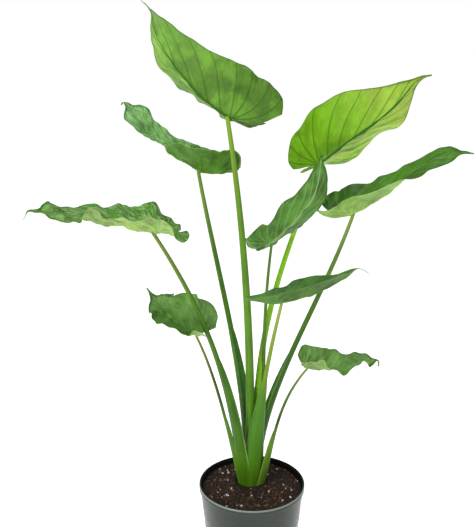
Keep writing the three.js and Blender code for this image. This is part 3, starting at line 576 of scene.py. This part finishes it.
for name, leaf in LEAVES.items():
    piece = blade("blade_" + name, leaf)
    for face in ("upper", "under"):
        values = dict(zip(FACE_COLOURS, map(shade, leaf[face])))
        values.update(zip(FACE_STRENGTHS, leaf[face][len(FACE_COLOURS):]))
        piece.data.materials.append(finish(
            name + " " + face + " face", tissue, values, 0.0004,
            **{"Specular IOR Level": 0.3 if face == "upper" else 0.18}))
    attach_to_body(piece, "root")
    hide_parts("leaf_" + name)

# ---------------------------------------------------------------- stems
# Nine leaf stems, each one piece with the sheath at its foot. A stem is a round fleshy rod. Its lower part
# opens into a crescent that wraps the stems inside it, and ends above in two thin shoulders.
# All of them grow from the rootstock in one clump.

STEMS = {
    "crown": dict(
        foot=(-5, 16), foot_lean=(3, 0, 100), foot_pull=218,
        head_lean=(-15, -4, 99), head_pull=200,
        foot_radius=7.6, head_radius=3.1, sheath_top=0.21, wrap=70,
        colours=(0x71a21d, 0x549714, 0x59881e, 0x8aaa31, 0xa8cc6c)),
    "upper_left": dict(
        foot=(-10, 27), foot_lean=(13, 1, 99), foot_pull=143,
        head_lean=(-16, 9, 98), head_pull=144,
        foot_radius=5.6, head_radius=2.7, sheath_top=0.52, wrap=70,
        colours=(0x6aa01a, 0x317c08, 0x49791c, 0x7f9c40, 0x8cb45c)),
    "left": dict(
        foot=(-12, 14), foot_lean=(-10, -8, 99), foot_pull=162,
        head_lean=(-47, -22, 85), head_pull=202,
        foot_radius=5.6, head_radius=2.6, sheath_top=0.55, wrap=72,
        colours=(0x538608, 0x3b680d, 0x487519, 0x79903b, 0x98c060)),
    "young": dict(
        foot=(4, 23), foot_lean=(1, -5, 100), foot_pull=229,
        head_lean=(36, 5, 93), head_pull=270,
        foot_radius=5.8, head_radius=3.2, sheath_top=0.33, wrap=60,
        colours=(0x94cc2c, 0x9cdc30, 0x98d226, 0x9ac03b, 0xa8d060)),
    "middle": dict(
        foot=(7, 30), foot_lean=(11, 0, 99), foot_pull=164,
        head_lean=(12, -2, 99), head_pull=152,
        foot_radius=3.8, head_radius=2, sheath_top=0.32, wrap=55,
        colours=(0x699232, 0x59852e, 0x5a8024, 0x567e22, 0x98bc60)),
    "lower_front": dict(
        foot=(-1, 5), foot_lean=(5, -1, 100), foot_pull=121,
        head_lean=(18, -24, 95), head_pull=133,
        foot_radius=5, head_radius=2.2, sheath_top=0.62, wrap=96,
        colours=(0x578812, 0x488015, 0x869f26, 0xa2af48, 0x9cc668)),
    "right": dict(
        foot=(9, 21), foot_lean=(-5, -3, 100), foot_pull=168,
        head_lean=(28, -6, 96), head_pull=175,
        foot_radius=5.8, head_radius=2.6, sheath_top=0.52, wrap=80,
        colours=(0x497f16, 0x2b6008, 0x4c7524, 0x7f9e40, 0x86b050)),
    "low_right": dict(
        foot=(13, 13), foot_lean=(26, -7, 96), foot_pull=80,
        head_lean=(56, -24, 79), head_pull=94,
        foot_radius=3.2, head_radius=1.7, sheath_top=0.51, wrap=50,
        colours=(0x76aa2a, 0x55771e, 0x3c3f19, 0x7f8340, 0x98b850)),
    "low_left": dict(
        foot=(-16, 19), foot_lean=(-20, 1, 98), foot_pull=67,
        head_lean=(-42, -7, 90), head_pull=89,
        foot_radius=3.2, head_radius=1.8, sheath_top=0.52, wrap=50,
        colours=(0x689721, 0x518413, 0x45561f, 0x8d934a, 0x98b850)),
}
CLUMP_AT = (-1, 20)
CROWN_Z = 131
FOOT_SPARE = 10
SHOULDER_WRAP = 108
SHEATH_EDGE = 0.9
STEM_TAPER = 1.3
RINGS_CROWDING = 1.5
TURNS_SQUARE_OVER = 0.3
STEM_RINGS = 96
OUTSIDE_POINTS = 25
INSIDE_POINTS = 17


def stem(name, size, attach):
    """A closed tube of rings along the stem's curve, level in the sheath and square to the curve above it."""
    foot = np.array([*size["foot"], CROWN_Z - FOOT_SPARE], float)
    head = np.array(attach, float)
    lean = [np.array(size[key], float) / np.linalg.norm(size[key]) for key in ("foot_lean", "head_lean")]
    corners = np.stack([foot, foot + lean[0] * size["foot_pull"], head - lean[1] * size["head_pull"], head])
    away = foot[:2] - CLUMP_AT
    reach = np.linalg.norm(away) + size["foot_radius"]
    away = np.array([*away / np.linalg.norm(away), 0])
    sheath_top = size["sheath_top"]
    below = STEM_RINGS // 2
    shares = np.concatenate([sheath_top * (1 - (1 - np.arange(below) / below) ** RINGS_CROWDING),
                             np.linspace(sheath_top, 1, STEM_RINGS - below)])
    outer = np.linspace(-1, 1, OUTSIDE_POINTS)
    inner = np.linspace(1, -1, INSIDE_POINTS)
    rounds = np.concatenate([np.radians(115) * outer, math.pi - np.radians(50) * inner])
    bows = np.concatenate([outer, inner])
    lining = np.concatenate([np.zeros(OUTSIDE_POINTS), np.ones(INSIDE_POINTS)])
    points, facts = [], []
    for share in shares:
        t = 1 - share
        weights = np.array([t ** 3, 3 * t * t * share, 3 * t * share ** 2, share ** 3])
        at = weights @ corners
        slopes = np.array([-3 * t * t, 3 * t * t - 6 * t * share,
                           6 * t * share - 3 * share ** 2, 3 * share ** 2])
        tangent = slopes @ corners
        tangent /= np.linalg.norm(tangent)
        tilt = min(max((share - sheath_top) / TURNS_SQUARE_OVER, 0), 1)
        tilt = tilt * tilt * (3 - 2 * tilt)
        along = np.array([0, 0, 1]) * (1 - tilt) + tangent * tilt
        along /= np.linalg.norm(along)
        outward = away - along * (away @ along)
        outward /= np.linalg.norm(outward)
        beside = np.cross(along, outward)
        opened = max(1 - share / sheath_top, 0) ** 0.6
        radius = size["foot_radius"] + (size["head_radius"] - size["foot_radius"]) * share ** STEM_TAPER
        bow = 2.2 * size["foot_radius"] * (1 - opened) + reach * opened
        wrap = np.radians(SHOULDER_WRAP * (1 - opened) + size["wrap"] * opened)
        wall = SHEATH_EDGE + (2 * radius - SHEATH_EDGE) * np.cos(bows * math.pi / 2)
        rod = radius * np.stack([np.cos(rounds), np.sin(rounds)], -1)
        arc = (bow - wall * lining)[:, None] * np.stack([np.cos(wrap * bows), np.sin(wrap * bows)], -1)
        arc[:, 0] -= bow - radius
        section = rod * (1 - opened) + arc * opened
        points.append(at + section[:, :1] * outward + section[:, 1:] * beside)
        facts.append(np.stack([np.full(len(bows), share), np.full(len(bows), opened), np.abs(bows),
                               bows * radius * (2 + 2 * opened)], -1))
    points = np.array(points)
    heights = np.linspace(0, np.linalg.norm(head - foot), STEM_RINGS)
    around = OUTSIDE_POINTS + INSIDE_POINTS
    faces = [list(range(around))[::-1], [around * (STEM_RINGS - 1) + k for k in range(around)]]
    for ring in range(STEM_RINGS - 1):
        for k in range(around):
            a, b = ring * around + k, ring * around + (k + 1) % around
            faces.append([a, b, b + around, a + around])
    flat = points.reshape(-1, 3)
    flat[:, 2] = np.maximum(flat[:, 2], CROWN_Z + 0.3)
    mesh = smooth_mesh(name, flat, faces)
    facts = np.concatenate(facts)
    for k, label in enumerate(("rise", "opened", "to_side")):
        data = mesh.attributes.new(label, "FLOAT", "POINT").data
        data.foreach_set("value", facts[:, k].astype(np.float32))
    lay_uv(mesh, "fibres", np.stack([facts[:, 3], np.repeat(heights, around)], -1))
    mesh.set_sharp_from_angle(angle=math.radians(70))
    return as_piece(name, mesh)


# Stem skin: three colours from the foot to the leaf, fine upright fibres, and paler thin sheath edges.
stem_skin, given, result = node_group("stem skin", {
    "Foot": 0x6fa22c, "Sheath": 0x4f8a22, "Rod": 0x6fa02c, "Head": 0x9cc04a, "Edge": 0xa8cc6c,
    "Sheath top": 0.4})
fibre_place = put(stem_skin, "ShaderNodeMapping",
                  links={"Vector": put(stem_skin, "ShaderNodeUVMap", uv_map="fibres").outputs[0],
                         "Scale": (1.1, 0.02, 1.0)})
fibres = noise(stem_skin, fibre_place.outputs[0], 1.0, 3.0, 0.55)
clouds = noise(stem_skin, place_in(stem_skin), 22.0, 3.0)
rise = measure(stem_skin, "rise")
sheath_end = given["Sheath top"]
near_foot = fading(stem_skin, rise, 0.0, times(stem_skin, sheath_end, 0.6))
colour = mixed(stem_skin, near_foot, given["Sheath"], given["Foot"])
above = rising(stem_skin, rise, times(stem_skin, sheath_end, 0.8),
               reckon(stem_skin, "ADD", sheath_end, 0.12))
colour = mixed(stem_skin, above, colour, given["Rod"])
colour = mixed(stem_skin, rising(stem_skin, rise, 0.7, 1.0), colour, given["Head"])
streak = fading(stem_skin, fibres, 0.35, 0.65, 0.4)
colour = mixed(stem_skin, streak, colour, given["Sheath"], "MULTIPLY")
cloud = fading(stem_skin, clouds, 0.35, 0.65, 0.3)
colour = mixed(stem_skin, cloud, colour, given["Foot"])
at_edge = rising(stem_skin, measure(stem_skin, "to_side"), 0.86, 1.0)
thin = times(stem_skin, at_edge, measure(stem_skin, "opened"))
colour = mixed(stem_skin, thin, colour, given["Edge"])
give(stem_skin, result, colour, scaled(stem_skin, fibres, 0.34, 0.56), fibres)

for name, size in STEMS.items():
    piece = stem("petiole_" + name, size, LEAVES[name]["attach"])
    values = dict(zip(("Foot", "Sheath", "Rod", "Head", "Edge"), map(shade, size["colours"])))
    values["Sheath top"] = size["sheath_top"]
    piece.data.materials.append(finish(
        name + " stem", stem_skin, values, 0.0005, **{"Specular IOR Level": 0.2}))
    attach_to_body(piece, "root")
    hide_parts("stem_" + name)

# The rootstock is the swollen brown corm that carries them all, out of sight in the soil.
corm_skin, given, result = node_group("corm skin", {
    "Brown": 0x6b4a33, "Scar": 0x3c281b})
place = place_in(corm_skin)
rings = put(corm_skin, "ShaderNodeTexWave", bands_direction="Z",
            links={"Vector": place, "Scale": 60.0, "Distortion": 4.0, "Detail": 3.0, "Detail Scale": 2.0})
colour = mixed(corm_skin, rings.outputs["Fac"], given["Brown"], given["Scar"])
rough = scaled(corm_skin, rings.outputs["Fac"], 0.75, 0.95)
give(corm_skin, result, colour, rough, rings.outputs["Fac"])
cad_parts["rootstock"].data.materials.clear()
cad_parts["rootstock"].data.materials.append(finish("corm", corm_skin, {}, 0.001))

# ---------------------------------------------------------------- nursery pot
# A round pot moulded in one piece from dark semi-gloss plastic, thin-walled and wider at the top, with a
# low lip outside the rim and drain holes near the edge of its floor. It is black inside.

POT_HEIGHT = 150
RIM_RADIUS = 85
LIP_OUT = 1.5
LIP_HEIGHT = 9
POT_BASE_RADIUS = 69
POT_WALL = 2
POT_FLOOR = 3
DRAIN_HOLES = 8
DRAIN_RADIUS = 5
DRAIN_AT = 54
POT_SIDES = 160


def wall_radius(z):
    return POT_BASE_RADIUS + (RIM_RADIUS - LIP_OUT - POT_BASE_RADIUS) * z / POT_HEIGHT


def lathe(name, profile, sides):
    """A solid turned about the vertical axis, from its outer foot round to the middle of its floor."""
    mesh = bpy.data.meshes.new(name)
    work = bmesh.new()
    ring = [work.verts.new((r * MM, 0, z * MM)) for r, z in profile]
    for a, b in zip(ring[:-1], ring[1:]):
        work.edges.new((a, b))
    bmesh.ops.spin(work, geom=work.verts[:] + work.edges[:], cent=(0, 0, 0), axis=(0, 0, 1),
                   angle=2 * math.pi, steps=sides, use_merge=True)
    bmesh.ops.remove_doubles(work, verts=work.verts, dist=1e-7)
    bmesh.ops.recalc_face_normals(work, faces=work.faces)
    work.to_mesh(mesh)
    work.free()
    mesh.polygons.foreach_set("use_smooth", [True] * len(mesh.polygons))
    return as_piece(name, mesh)


def made_plain(piece):
    """The piece's evaluated shape as its mesh, with no modifier left on it."""
    shaped = bpy.data.meshes.new_from_object(piece.evaluated_get(bpy.context.evaluated_depsgraph_get()))
    piece.modifiers.clear()
    piece.data = shaped


lip_foot = POT_HEIGHT - LIP_HEIGHT
bore = wall_radius(POT_HEIGHT) - POT_WALL
pot = lathe("plant_pot", [
    (0, 0), (POT_BASE_RADIUS - 4, 0), (POT_BASE_RADIUS - 2.5, 0.15), (POT_BASE_RADIUS - 1.2, 0.7),
    (POT_BASE_RADIUS - 0.35, 1.5), (wall_radius(2.6), 2.6), (wall_radius(40), 40), (wall_radius(90), 90),
    (wall_radius(lip_foot - 1.6), lip_foot - 1.6), (wall_radius(lip_foot - 1), lip_foot - 0.9),
    (RIM_RADIUS - 0.7, lip_foot - 0.2), (RIM_RADIUS - 0.15, lip_foot + 0.3), (RIM_RADIUS, lip_foot + 1.2),
    (RIM_RADIUS, POT_HEIGHT - 1.6), (RIM_RADIUS - 0.25, POT_HEIGHT - 0.75),
    (RIM_RADIUS - 0.8, POT_HEIGHT - 0.2), (RIM_RADIUS - 1.5, POT_HEIGHT), (bore + 1, POT_HEIGHT),
    (bore + 0.35, POT_HEIGHT - 0.25), (bore, POT_HEIGHT - 0.9), (wall_radius(90) - POT_WALL, 90),
    (wall_radius(POT_FLOOR + 2) - POT_WALL, POT_FLOOR + 2),
    (wall_radius(POT_FLOOR) - POT_WALL - 2, POT_FLOOR), (0, POT_FLOOR)], POT_SIDES)
drills = bpy.data.meshes.new("drain drills")
work = bmesh.new()
for i in range(DRAIN_HOLES):
    turn = (i + 0.5) / DRAIN_HOLES * 2 * math.pi
    made = bmesh.ops.create_cone(work, cap_ends=True, segments=32, radius1=DRAIN_RADIUS * MM,
                                 radius2=DRAIN_RADIUS * MM, depth=4 * POT_FLOOR * MM)
    at = Vector((DRAIN_AT * math.cos(turn), DRAIN_AT * math.sin(turn), 0)) * MM
    bmesh.ops.translate(work, verts=made["verts"], vec=at)
work.to_mesh(drills)
work.free()
drill = as_piece("drain_drills", drills)
cut = pot.modifiers.new("drain holes", "BOOLEAN")
cut.operation = "DIFFERENCE"
cut.solver = "EXACT"
cut.object = drill
made_plain(pot)
bpy.data.objects.remove(drill)
pot.data.set_sharp_from_angle(angle=math.radians(50))

# Moulded plastic: a dark wall with random scuffs, a black rim top with a painted highlight along its outer
# edge, and black inside.
plastic, given, result = node_group("moulded plastic", {
    "Wall": 0x1e2a22, "Inside": 0x0b0d0b, "Rim": 0x121512, "Scuff": 0x303c34, "Painted rim highlight": 0x87918a})
place = place_in(plastic)
across = put(plastic, "ShaderNodeSeparateXYZ", links={0: place})
flat_place = put(plastic, "ShaderNodeCombineXYZ", links={0: across.outputs[0], 1: across.outputs[1]})
from_axis = put(plastic, "ShaderNodeVectorMath", operation="LENGTH",
                links={0: flat_place.outputs[0]}).outputs["Value"]
wall_here = put(plastic, "ShaderNodeMapRange",
                links={"Value": across.outputs[2], "From Min": 0.0, "From Max": POT_HEIGHT * MM,
                       "To Min": (POT_BASE_RADIUS - 1) * MM, "To Max": (RIM_RADIUS - LIP_OUT - 1) * MM})
inside = reckon(plastic, "LESS_THAN", from_axis, wall_here.outputs["Result"])
scuffs = noise(plastic, place, 45.0, 5.0, 0.65)
dull = fading(plastic, scuffs, 0.4, 0.62)
scuffed = times(plastic, dull, 0.25)
colour = mixed(plastic, scuffed, given["Wall"], given["Scuff"])
# A thin pale ring along the outer edge of the rim's top is a painted highlight.
rim_highlight_band = rising(plastic, from_axis, (RIM_RADIUS - 1.5) * MM, (RIM_RADIUS - 0.6) * MM)
near_rim = rising(plastic, across.outputs[2], (POT_HEIGHT - 3.5) * MM, (POT_HEIGHT - 1) * MM)
rim = mixed(plastic, rim_highlight_band, given["Rim"], given["Painted rim highlight"])
colour = mixed(plastic, near_rim, colour, rim)
colour = mixed(plastic, inside, colour, given["Inside"])
give(plastic, result, colour, scaled(plastic, dull, 0.22, 0.34), scuffs)
pot.data.materials.clear()
pot.data.materials.append(finish("pot plastic", plastic, {}, 0.0001, **{"Specular IOR Level": 0.4}))
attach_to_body(pot, "root")
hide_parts("nursery_pot")

# ---------------------------------------------------------------- soil
# Loose potting mix: dark crumbs of peat and bark, reddish chips and white grains of perlite. It fills the
# pot to a little under the rim and rises slightly round the clump of stems.

SOIL_BELOW_RIM = 9
SOIL_RELIEF = 2.2
SOIL_RISE = 2.5
SOIL_RISE_SPREAD = 30
CLUMP_HALF = (25, 24)
ROOT_HEIGHT = 22


def soil_height(x, y):
    """The bed's height under its crumbs, in millimetres."""
    swell = np.sin(x / 11 + 1.3) * np.cos(y / 9 - 0.4) + 0.6 * np.sin((x + y) / 6.5)
    from_clump = (x - CLUMP_AT[0]) ** 2 + (y - CLUMP_AT[1]) ** 2
    rise = SOIL_RISE * np.exp(-from_clump / (2 * SOIL_RISE_SPREAD ** 2))
    return POT_HEIGHT - SOIL_BELOW_RIM + SOIL_RELIEF / 1.6 * swell * 0.6 + rise


def bed(name, outer, hole_margin, rings, around, closed):
    """The soil from the clump's oval hole out to the wall: its top alone, or closed to the pot's floor."""
    turn = np.arange(around) / around * 2 * math.pi
    c, s = np.cos(turn), np.sin(turn)
    hole = np.stack([CLUMP_AT[0] + (CLUMP_HALF[0] + hole_margin) * c,
                     CLUMP_AT[1] + (CLUMP_HALF[1] + hole_margin) * s], -1)
    wall = outer * np.stack([c, s], -1)
    parts = np.linspace(0, 1, rings)[:, None, None]
    flat = hole * (1 - parts) + wall * parts
    x, y = flat[..., 0], flat[..., 1]
    z = soil_height(x, y)
    rows = [np.stack([x, y, z], -1).reshape(-1, 3)]
    loops = rings
    if closed:
        floor = POT_FLOOR + 0.3
        foot = (wall_radius(POT_FLOOR) - POT_WALL - 0.5) / outer
        rows.append(np.column_stack([wall * foot, np.full(around, floor)]))
        rows.append(np.column_stack([hole * 0.02, np.full(around, floor)]))
        rows.append(np.column_stack([hole * 0.02, np.full(around, CROWN_Z - ROOT_HEIGHT)]))
        rows.append(np.column_stack([hole, np.full(around, CROWN_Z - ROOT_HEIGHT)]))
        loops += 4
    faces = []
    for ring in range(loops if closed else loops - 1):
        for k in range(around):
            a, b = ring * around + k, ring * around + (k + 1) % around
            up = around if ring < loops - 1 else -ring * around
            faces.append([a, a + up, b + up, b])
    return as_piece(name, smooth_mesh(name, np.concatenate(rows), faces))


def scatter_tree(name):
    """Geometry Nodes: grains strewn over a surface, each a small uneven lump turned and sized at random."""
    tree = bpy.data.node_groups.new(name, "GeometryNodeTree")
    tree.is_modifier = True
    tree.interface.new_socket("Geometry", in_out="INPUT", socket_type="NodeSocketGeometry")
    for label, kind, value in (("Grains per square metre", "Float", 1000.0), ("Smallest", "Float", 0.001),
                               ("Largest", "Float", 0.002), ("Flatness", "Float", 0.7),
                               ("Sunk", "Float", 0.0005), ("Seed", "Int", 1)):
        socket = tree.interface.new_socket(label, in_out="INPUT", socket_type="NodeSocket" + kind)
        socket.default_value = value
    tree.interface.new_socket("Material", in_out="INPUT", socket_type="NodeSocketMaterial")
    tree.interface.new_socket("Geometry", in_out="OUTPUT", socket_type="NodeSocketGeometry")
    given = tree.nodes.new("NodeGroupInput").outputs
    strewn = put(tree, "GeometryNodeDistributePointsOnFaces",
                 links={"Mesh": given["Geometry"], "Density": given["Grains per square metre"],
                        "Seed": given["Seed"]})
    ball = put(tree, "GeometryNodeMeshIcoSphere", links={"Radius": 1.0, "Subdivisions": 2})
    uneven = put(tree, "ShaderNodeTexNoise", links={"Scale": 1.1, "Detail": 1.0})
    push = put(tree, "ShaderNodeVectorMath", operation="SUBTRACT",
               links={0: uneven.outputs["Color"], 1: (0.5, 0.5, 0.5)})
    strong = put(tree, "ShaderNodeVectorMath", operation="MULTIPLY",
                 links={0: push.outputs[0], 1: (1.5, 1.5, 1.5)})
    lump = put(tree, "GeometryNodeSetPosition",
               links={"Geometry": ball.outputs["Mesh"], "Offset": strong.outputs[0]})
    turn = put(tree, "FunctionNodeRandomValue", data_type="FLOAT_VECTOR",
               links={1: (6.283, 6.283, 6.283), "Seed": given["Seed"]})
    size = put(tree, "FunctionNodeRandomValue", data_type="FLOAT",
               links={2: given["Smallest"], 3: given["Largest"], "Seed": given["Seed"]})
    squash = put(tree, "ShaderNodeCombineXYZ", links={0: 1.0, 1: 0.8, 2: given["Flatness"]})
    scale = put(tree, "ShaderNodeVectorMath", operation="SCALE",
                links={0: squash.outputs[0], "Scale": size.outputs[1]})
    placed = put(tree, "GeometryNodeInstanceOnPoints",
                 links={"Points": strewn.outputs["Points"], "Instance": lump.outputs["Geometry"],
                        "Rotation": turn.outputs[0], "Scale": scale.outputs[0]})
    lower = put(tree, "ShaderNodeMath", operation="MULTIPLY", links={0: given["Sunk"], 1: -1.0})
    down = put(tree, "ShaderNodeCombineXYZ", links={2: lower.outputs[0]})
    sunk = put(tree, "GeometryNodeTranslateInstances",
               links={"Instances": placed.outputs["Instances"], "Translation": down.outputs[0],
                      "Local Space": False})
    real = put(tree, "GeometryNodeRealizeInstances", links={"Geometry": sunk.outputs[0]})
    painted = put(tree, "GeometryNodeSetMaterial",
                  links={"Geometry": real.outputs[0], "Material": given["Material"]})
    shown = tree.nodes.new("NodeGroupOutput")
    tree.links.new(painted.outputs[0], shown.inputs["Geometry"])
    return tree


# Crumb: two browns in small clouds, a little shine where it is damp, and a rough face.
crumb, given, result = node_group("crumb", {
    "Brown": 0x2c1b12, "Dark": 0x0c0705, "Coarse": 300.0, "Damp": 0.45, "Dry": 0.9})
place = place_in(crumb)
share = fading(crumb, noise(crumb, place, given["Coarse"], 4.0), 0.38, 0.62)
rough = scaled(crumb, share, given["Dry"], given["Damp"])
colour = mixed(crumb, share, given["Brown"], given["Dark"])
give(crumb, result, colour, rough, noise(crumb, place, 1600.0, 3.0))

wall_at_soil = wall_radius(POT_HEIGHT - SOIL_BELOW_RIM) - POT_WALL
mix = bed("potting_mix", wall_at_soil - 0.9, 0, 40, 180, True)
mix.data.materials.append(finish("peat", crumb, {"Coarse": 240.0}, 0.0006))
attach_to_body(mix, "root")
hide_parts("soil")

strewing = scatter_tree("strewn grains")
for label, brown, dark, coarse, damp, dry, density, smallest, largest, flatness, sunk, seed in (
        ("peat_crumbs", 0x5c3c28, 0x130b07, 260.0, 0.5, 0.9, 52000.0, 0.0009, 0.0025, 0.7, 0.0002, 11),
        ("bark_chips", 0x86593c, 0x2c1910, 300.0, 0.5, 0.9, 8000.0, 0.0017, 0.0038, 0.45, 0.0002, 23),
        ("perlite", 0xf2f1ec, 0xcfccc2, 700.0, 0.7, 0.9, 2600.0, 0.0009, 0.0024, 0.8, -0.0003, 37)):
    grains = bed(label, wall_at_soil - 4.5, 4.5, 24, 120, False)
    strew = grains.modifiers.new("strewn", "NODES")
    strew.node_group = strewing
    grain = finish(label, crumb, {"Brown": shade(brown), "Dark": shade(dark), "Coarse": coarse,
                                  "Damp": damp, "Dry": dry}, 0.0003)
    wanted = {"Grains per square metre": density, "Smallest": smallest, "Largest": largest,
              "Flatness": flatness, "Sunk": sunk, "Seed": seed, "Material": grain}
    for socket in strewing.interface.items_tree:
        if socket.in_out == "INPUT" and socket.name in wanted:
            strew[socket.identifier] = wanted[socket.name]
    made_plain(grains)
    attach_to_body(grains, "root")

# ---------------------------------------------------------------- floor and light
# A plain white studio: a wide pale floor, two large soft lamps in front, one on each side, a third overhead,
# and white all round.

floor = as_piece("studio_floor", bpy.data.meshes.new("studio floor"))
edge = 14.0
corners = [(-edge, -edge, 0), (edge, -edge, 0), (edge, edge, 0), (-edge, edge, 0)]
floor.data.from_pydata(corners, [], [(0, 1, 2, 3)])
paper = bpy.data.materials.new("studio paper")
paper.use_nodes = True
tree = paper.node_tree
tree.nodes.clear()
fibre = noise(tree, place_in(tree), 3.0, 4.0)
tone = mixed(tree, fibre, (0.9, 0.9, 0.9, 1), (0.94, 0.94, 0.94, 1))
skin = put(tree, "ShaderNodeBsdfPrincipled",
           links={"Base Color": tone, "Roughness": 0.9,
                  "Emission Color": (1, 1, 1, 1), "Emission Strength": 0.8})
put(tree, "ShaderNodeOutputMaterial", links={"Surface": skin.outputs[0]})
floor.data.materials.append(paper)

world = bpy.data.worlds.new("studio white")
world.use_nodes = True
tree = world.node_tree
seen = put(tree, "ShaderNodeLightPath").outputs["Is Camera Ray"]
glow = scaled(tree, seen, 0.25, 1.0)
tree.nodes["Background"].inputs["Color"].default_value = (1, 1, 1, 1)
tree.links.new(glow, tree.nodes["Background"].inputs["Strength"])
scene.world = world
scene.view_settings.view_transform = "Standard"


def soft_lamp(name, at, towards, width, height, watts):
    lamp = as_piece(name, bpy.data.lights.new(name, "AREA"))
    lamp.data.shape = "RECTANGLE"
    lamp.data.size, lamp.data.size_y = width, height
    lamp.data.energy = watts
    lamp.location = at
    lamp.rotation_euler = (Vector(towards) - Vector(at)).to_track_quat("-Z", "Y").to_euler()


soft_lamp("left lamp", (-1.5, -1.5, 1.5), (0, 0, 0.4), 0.8, 1.6, 30)
soft_lamp("right lamp", (1.6, -1.4, 1.3), (0, 0, 0.4), 0.7, 1.4, 6)
soft_lamp("top lamp", (-0.2, -0.1, 2.6), (0, 0, 0.3), 1.6, 1.6, 20)
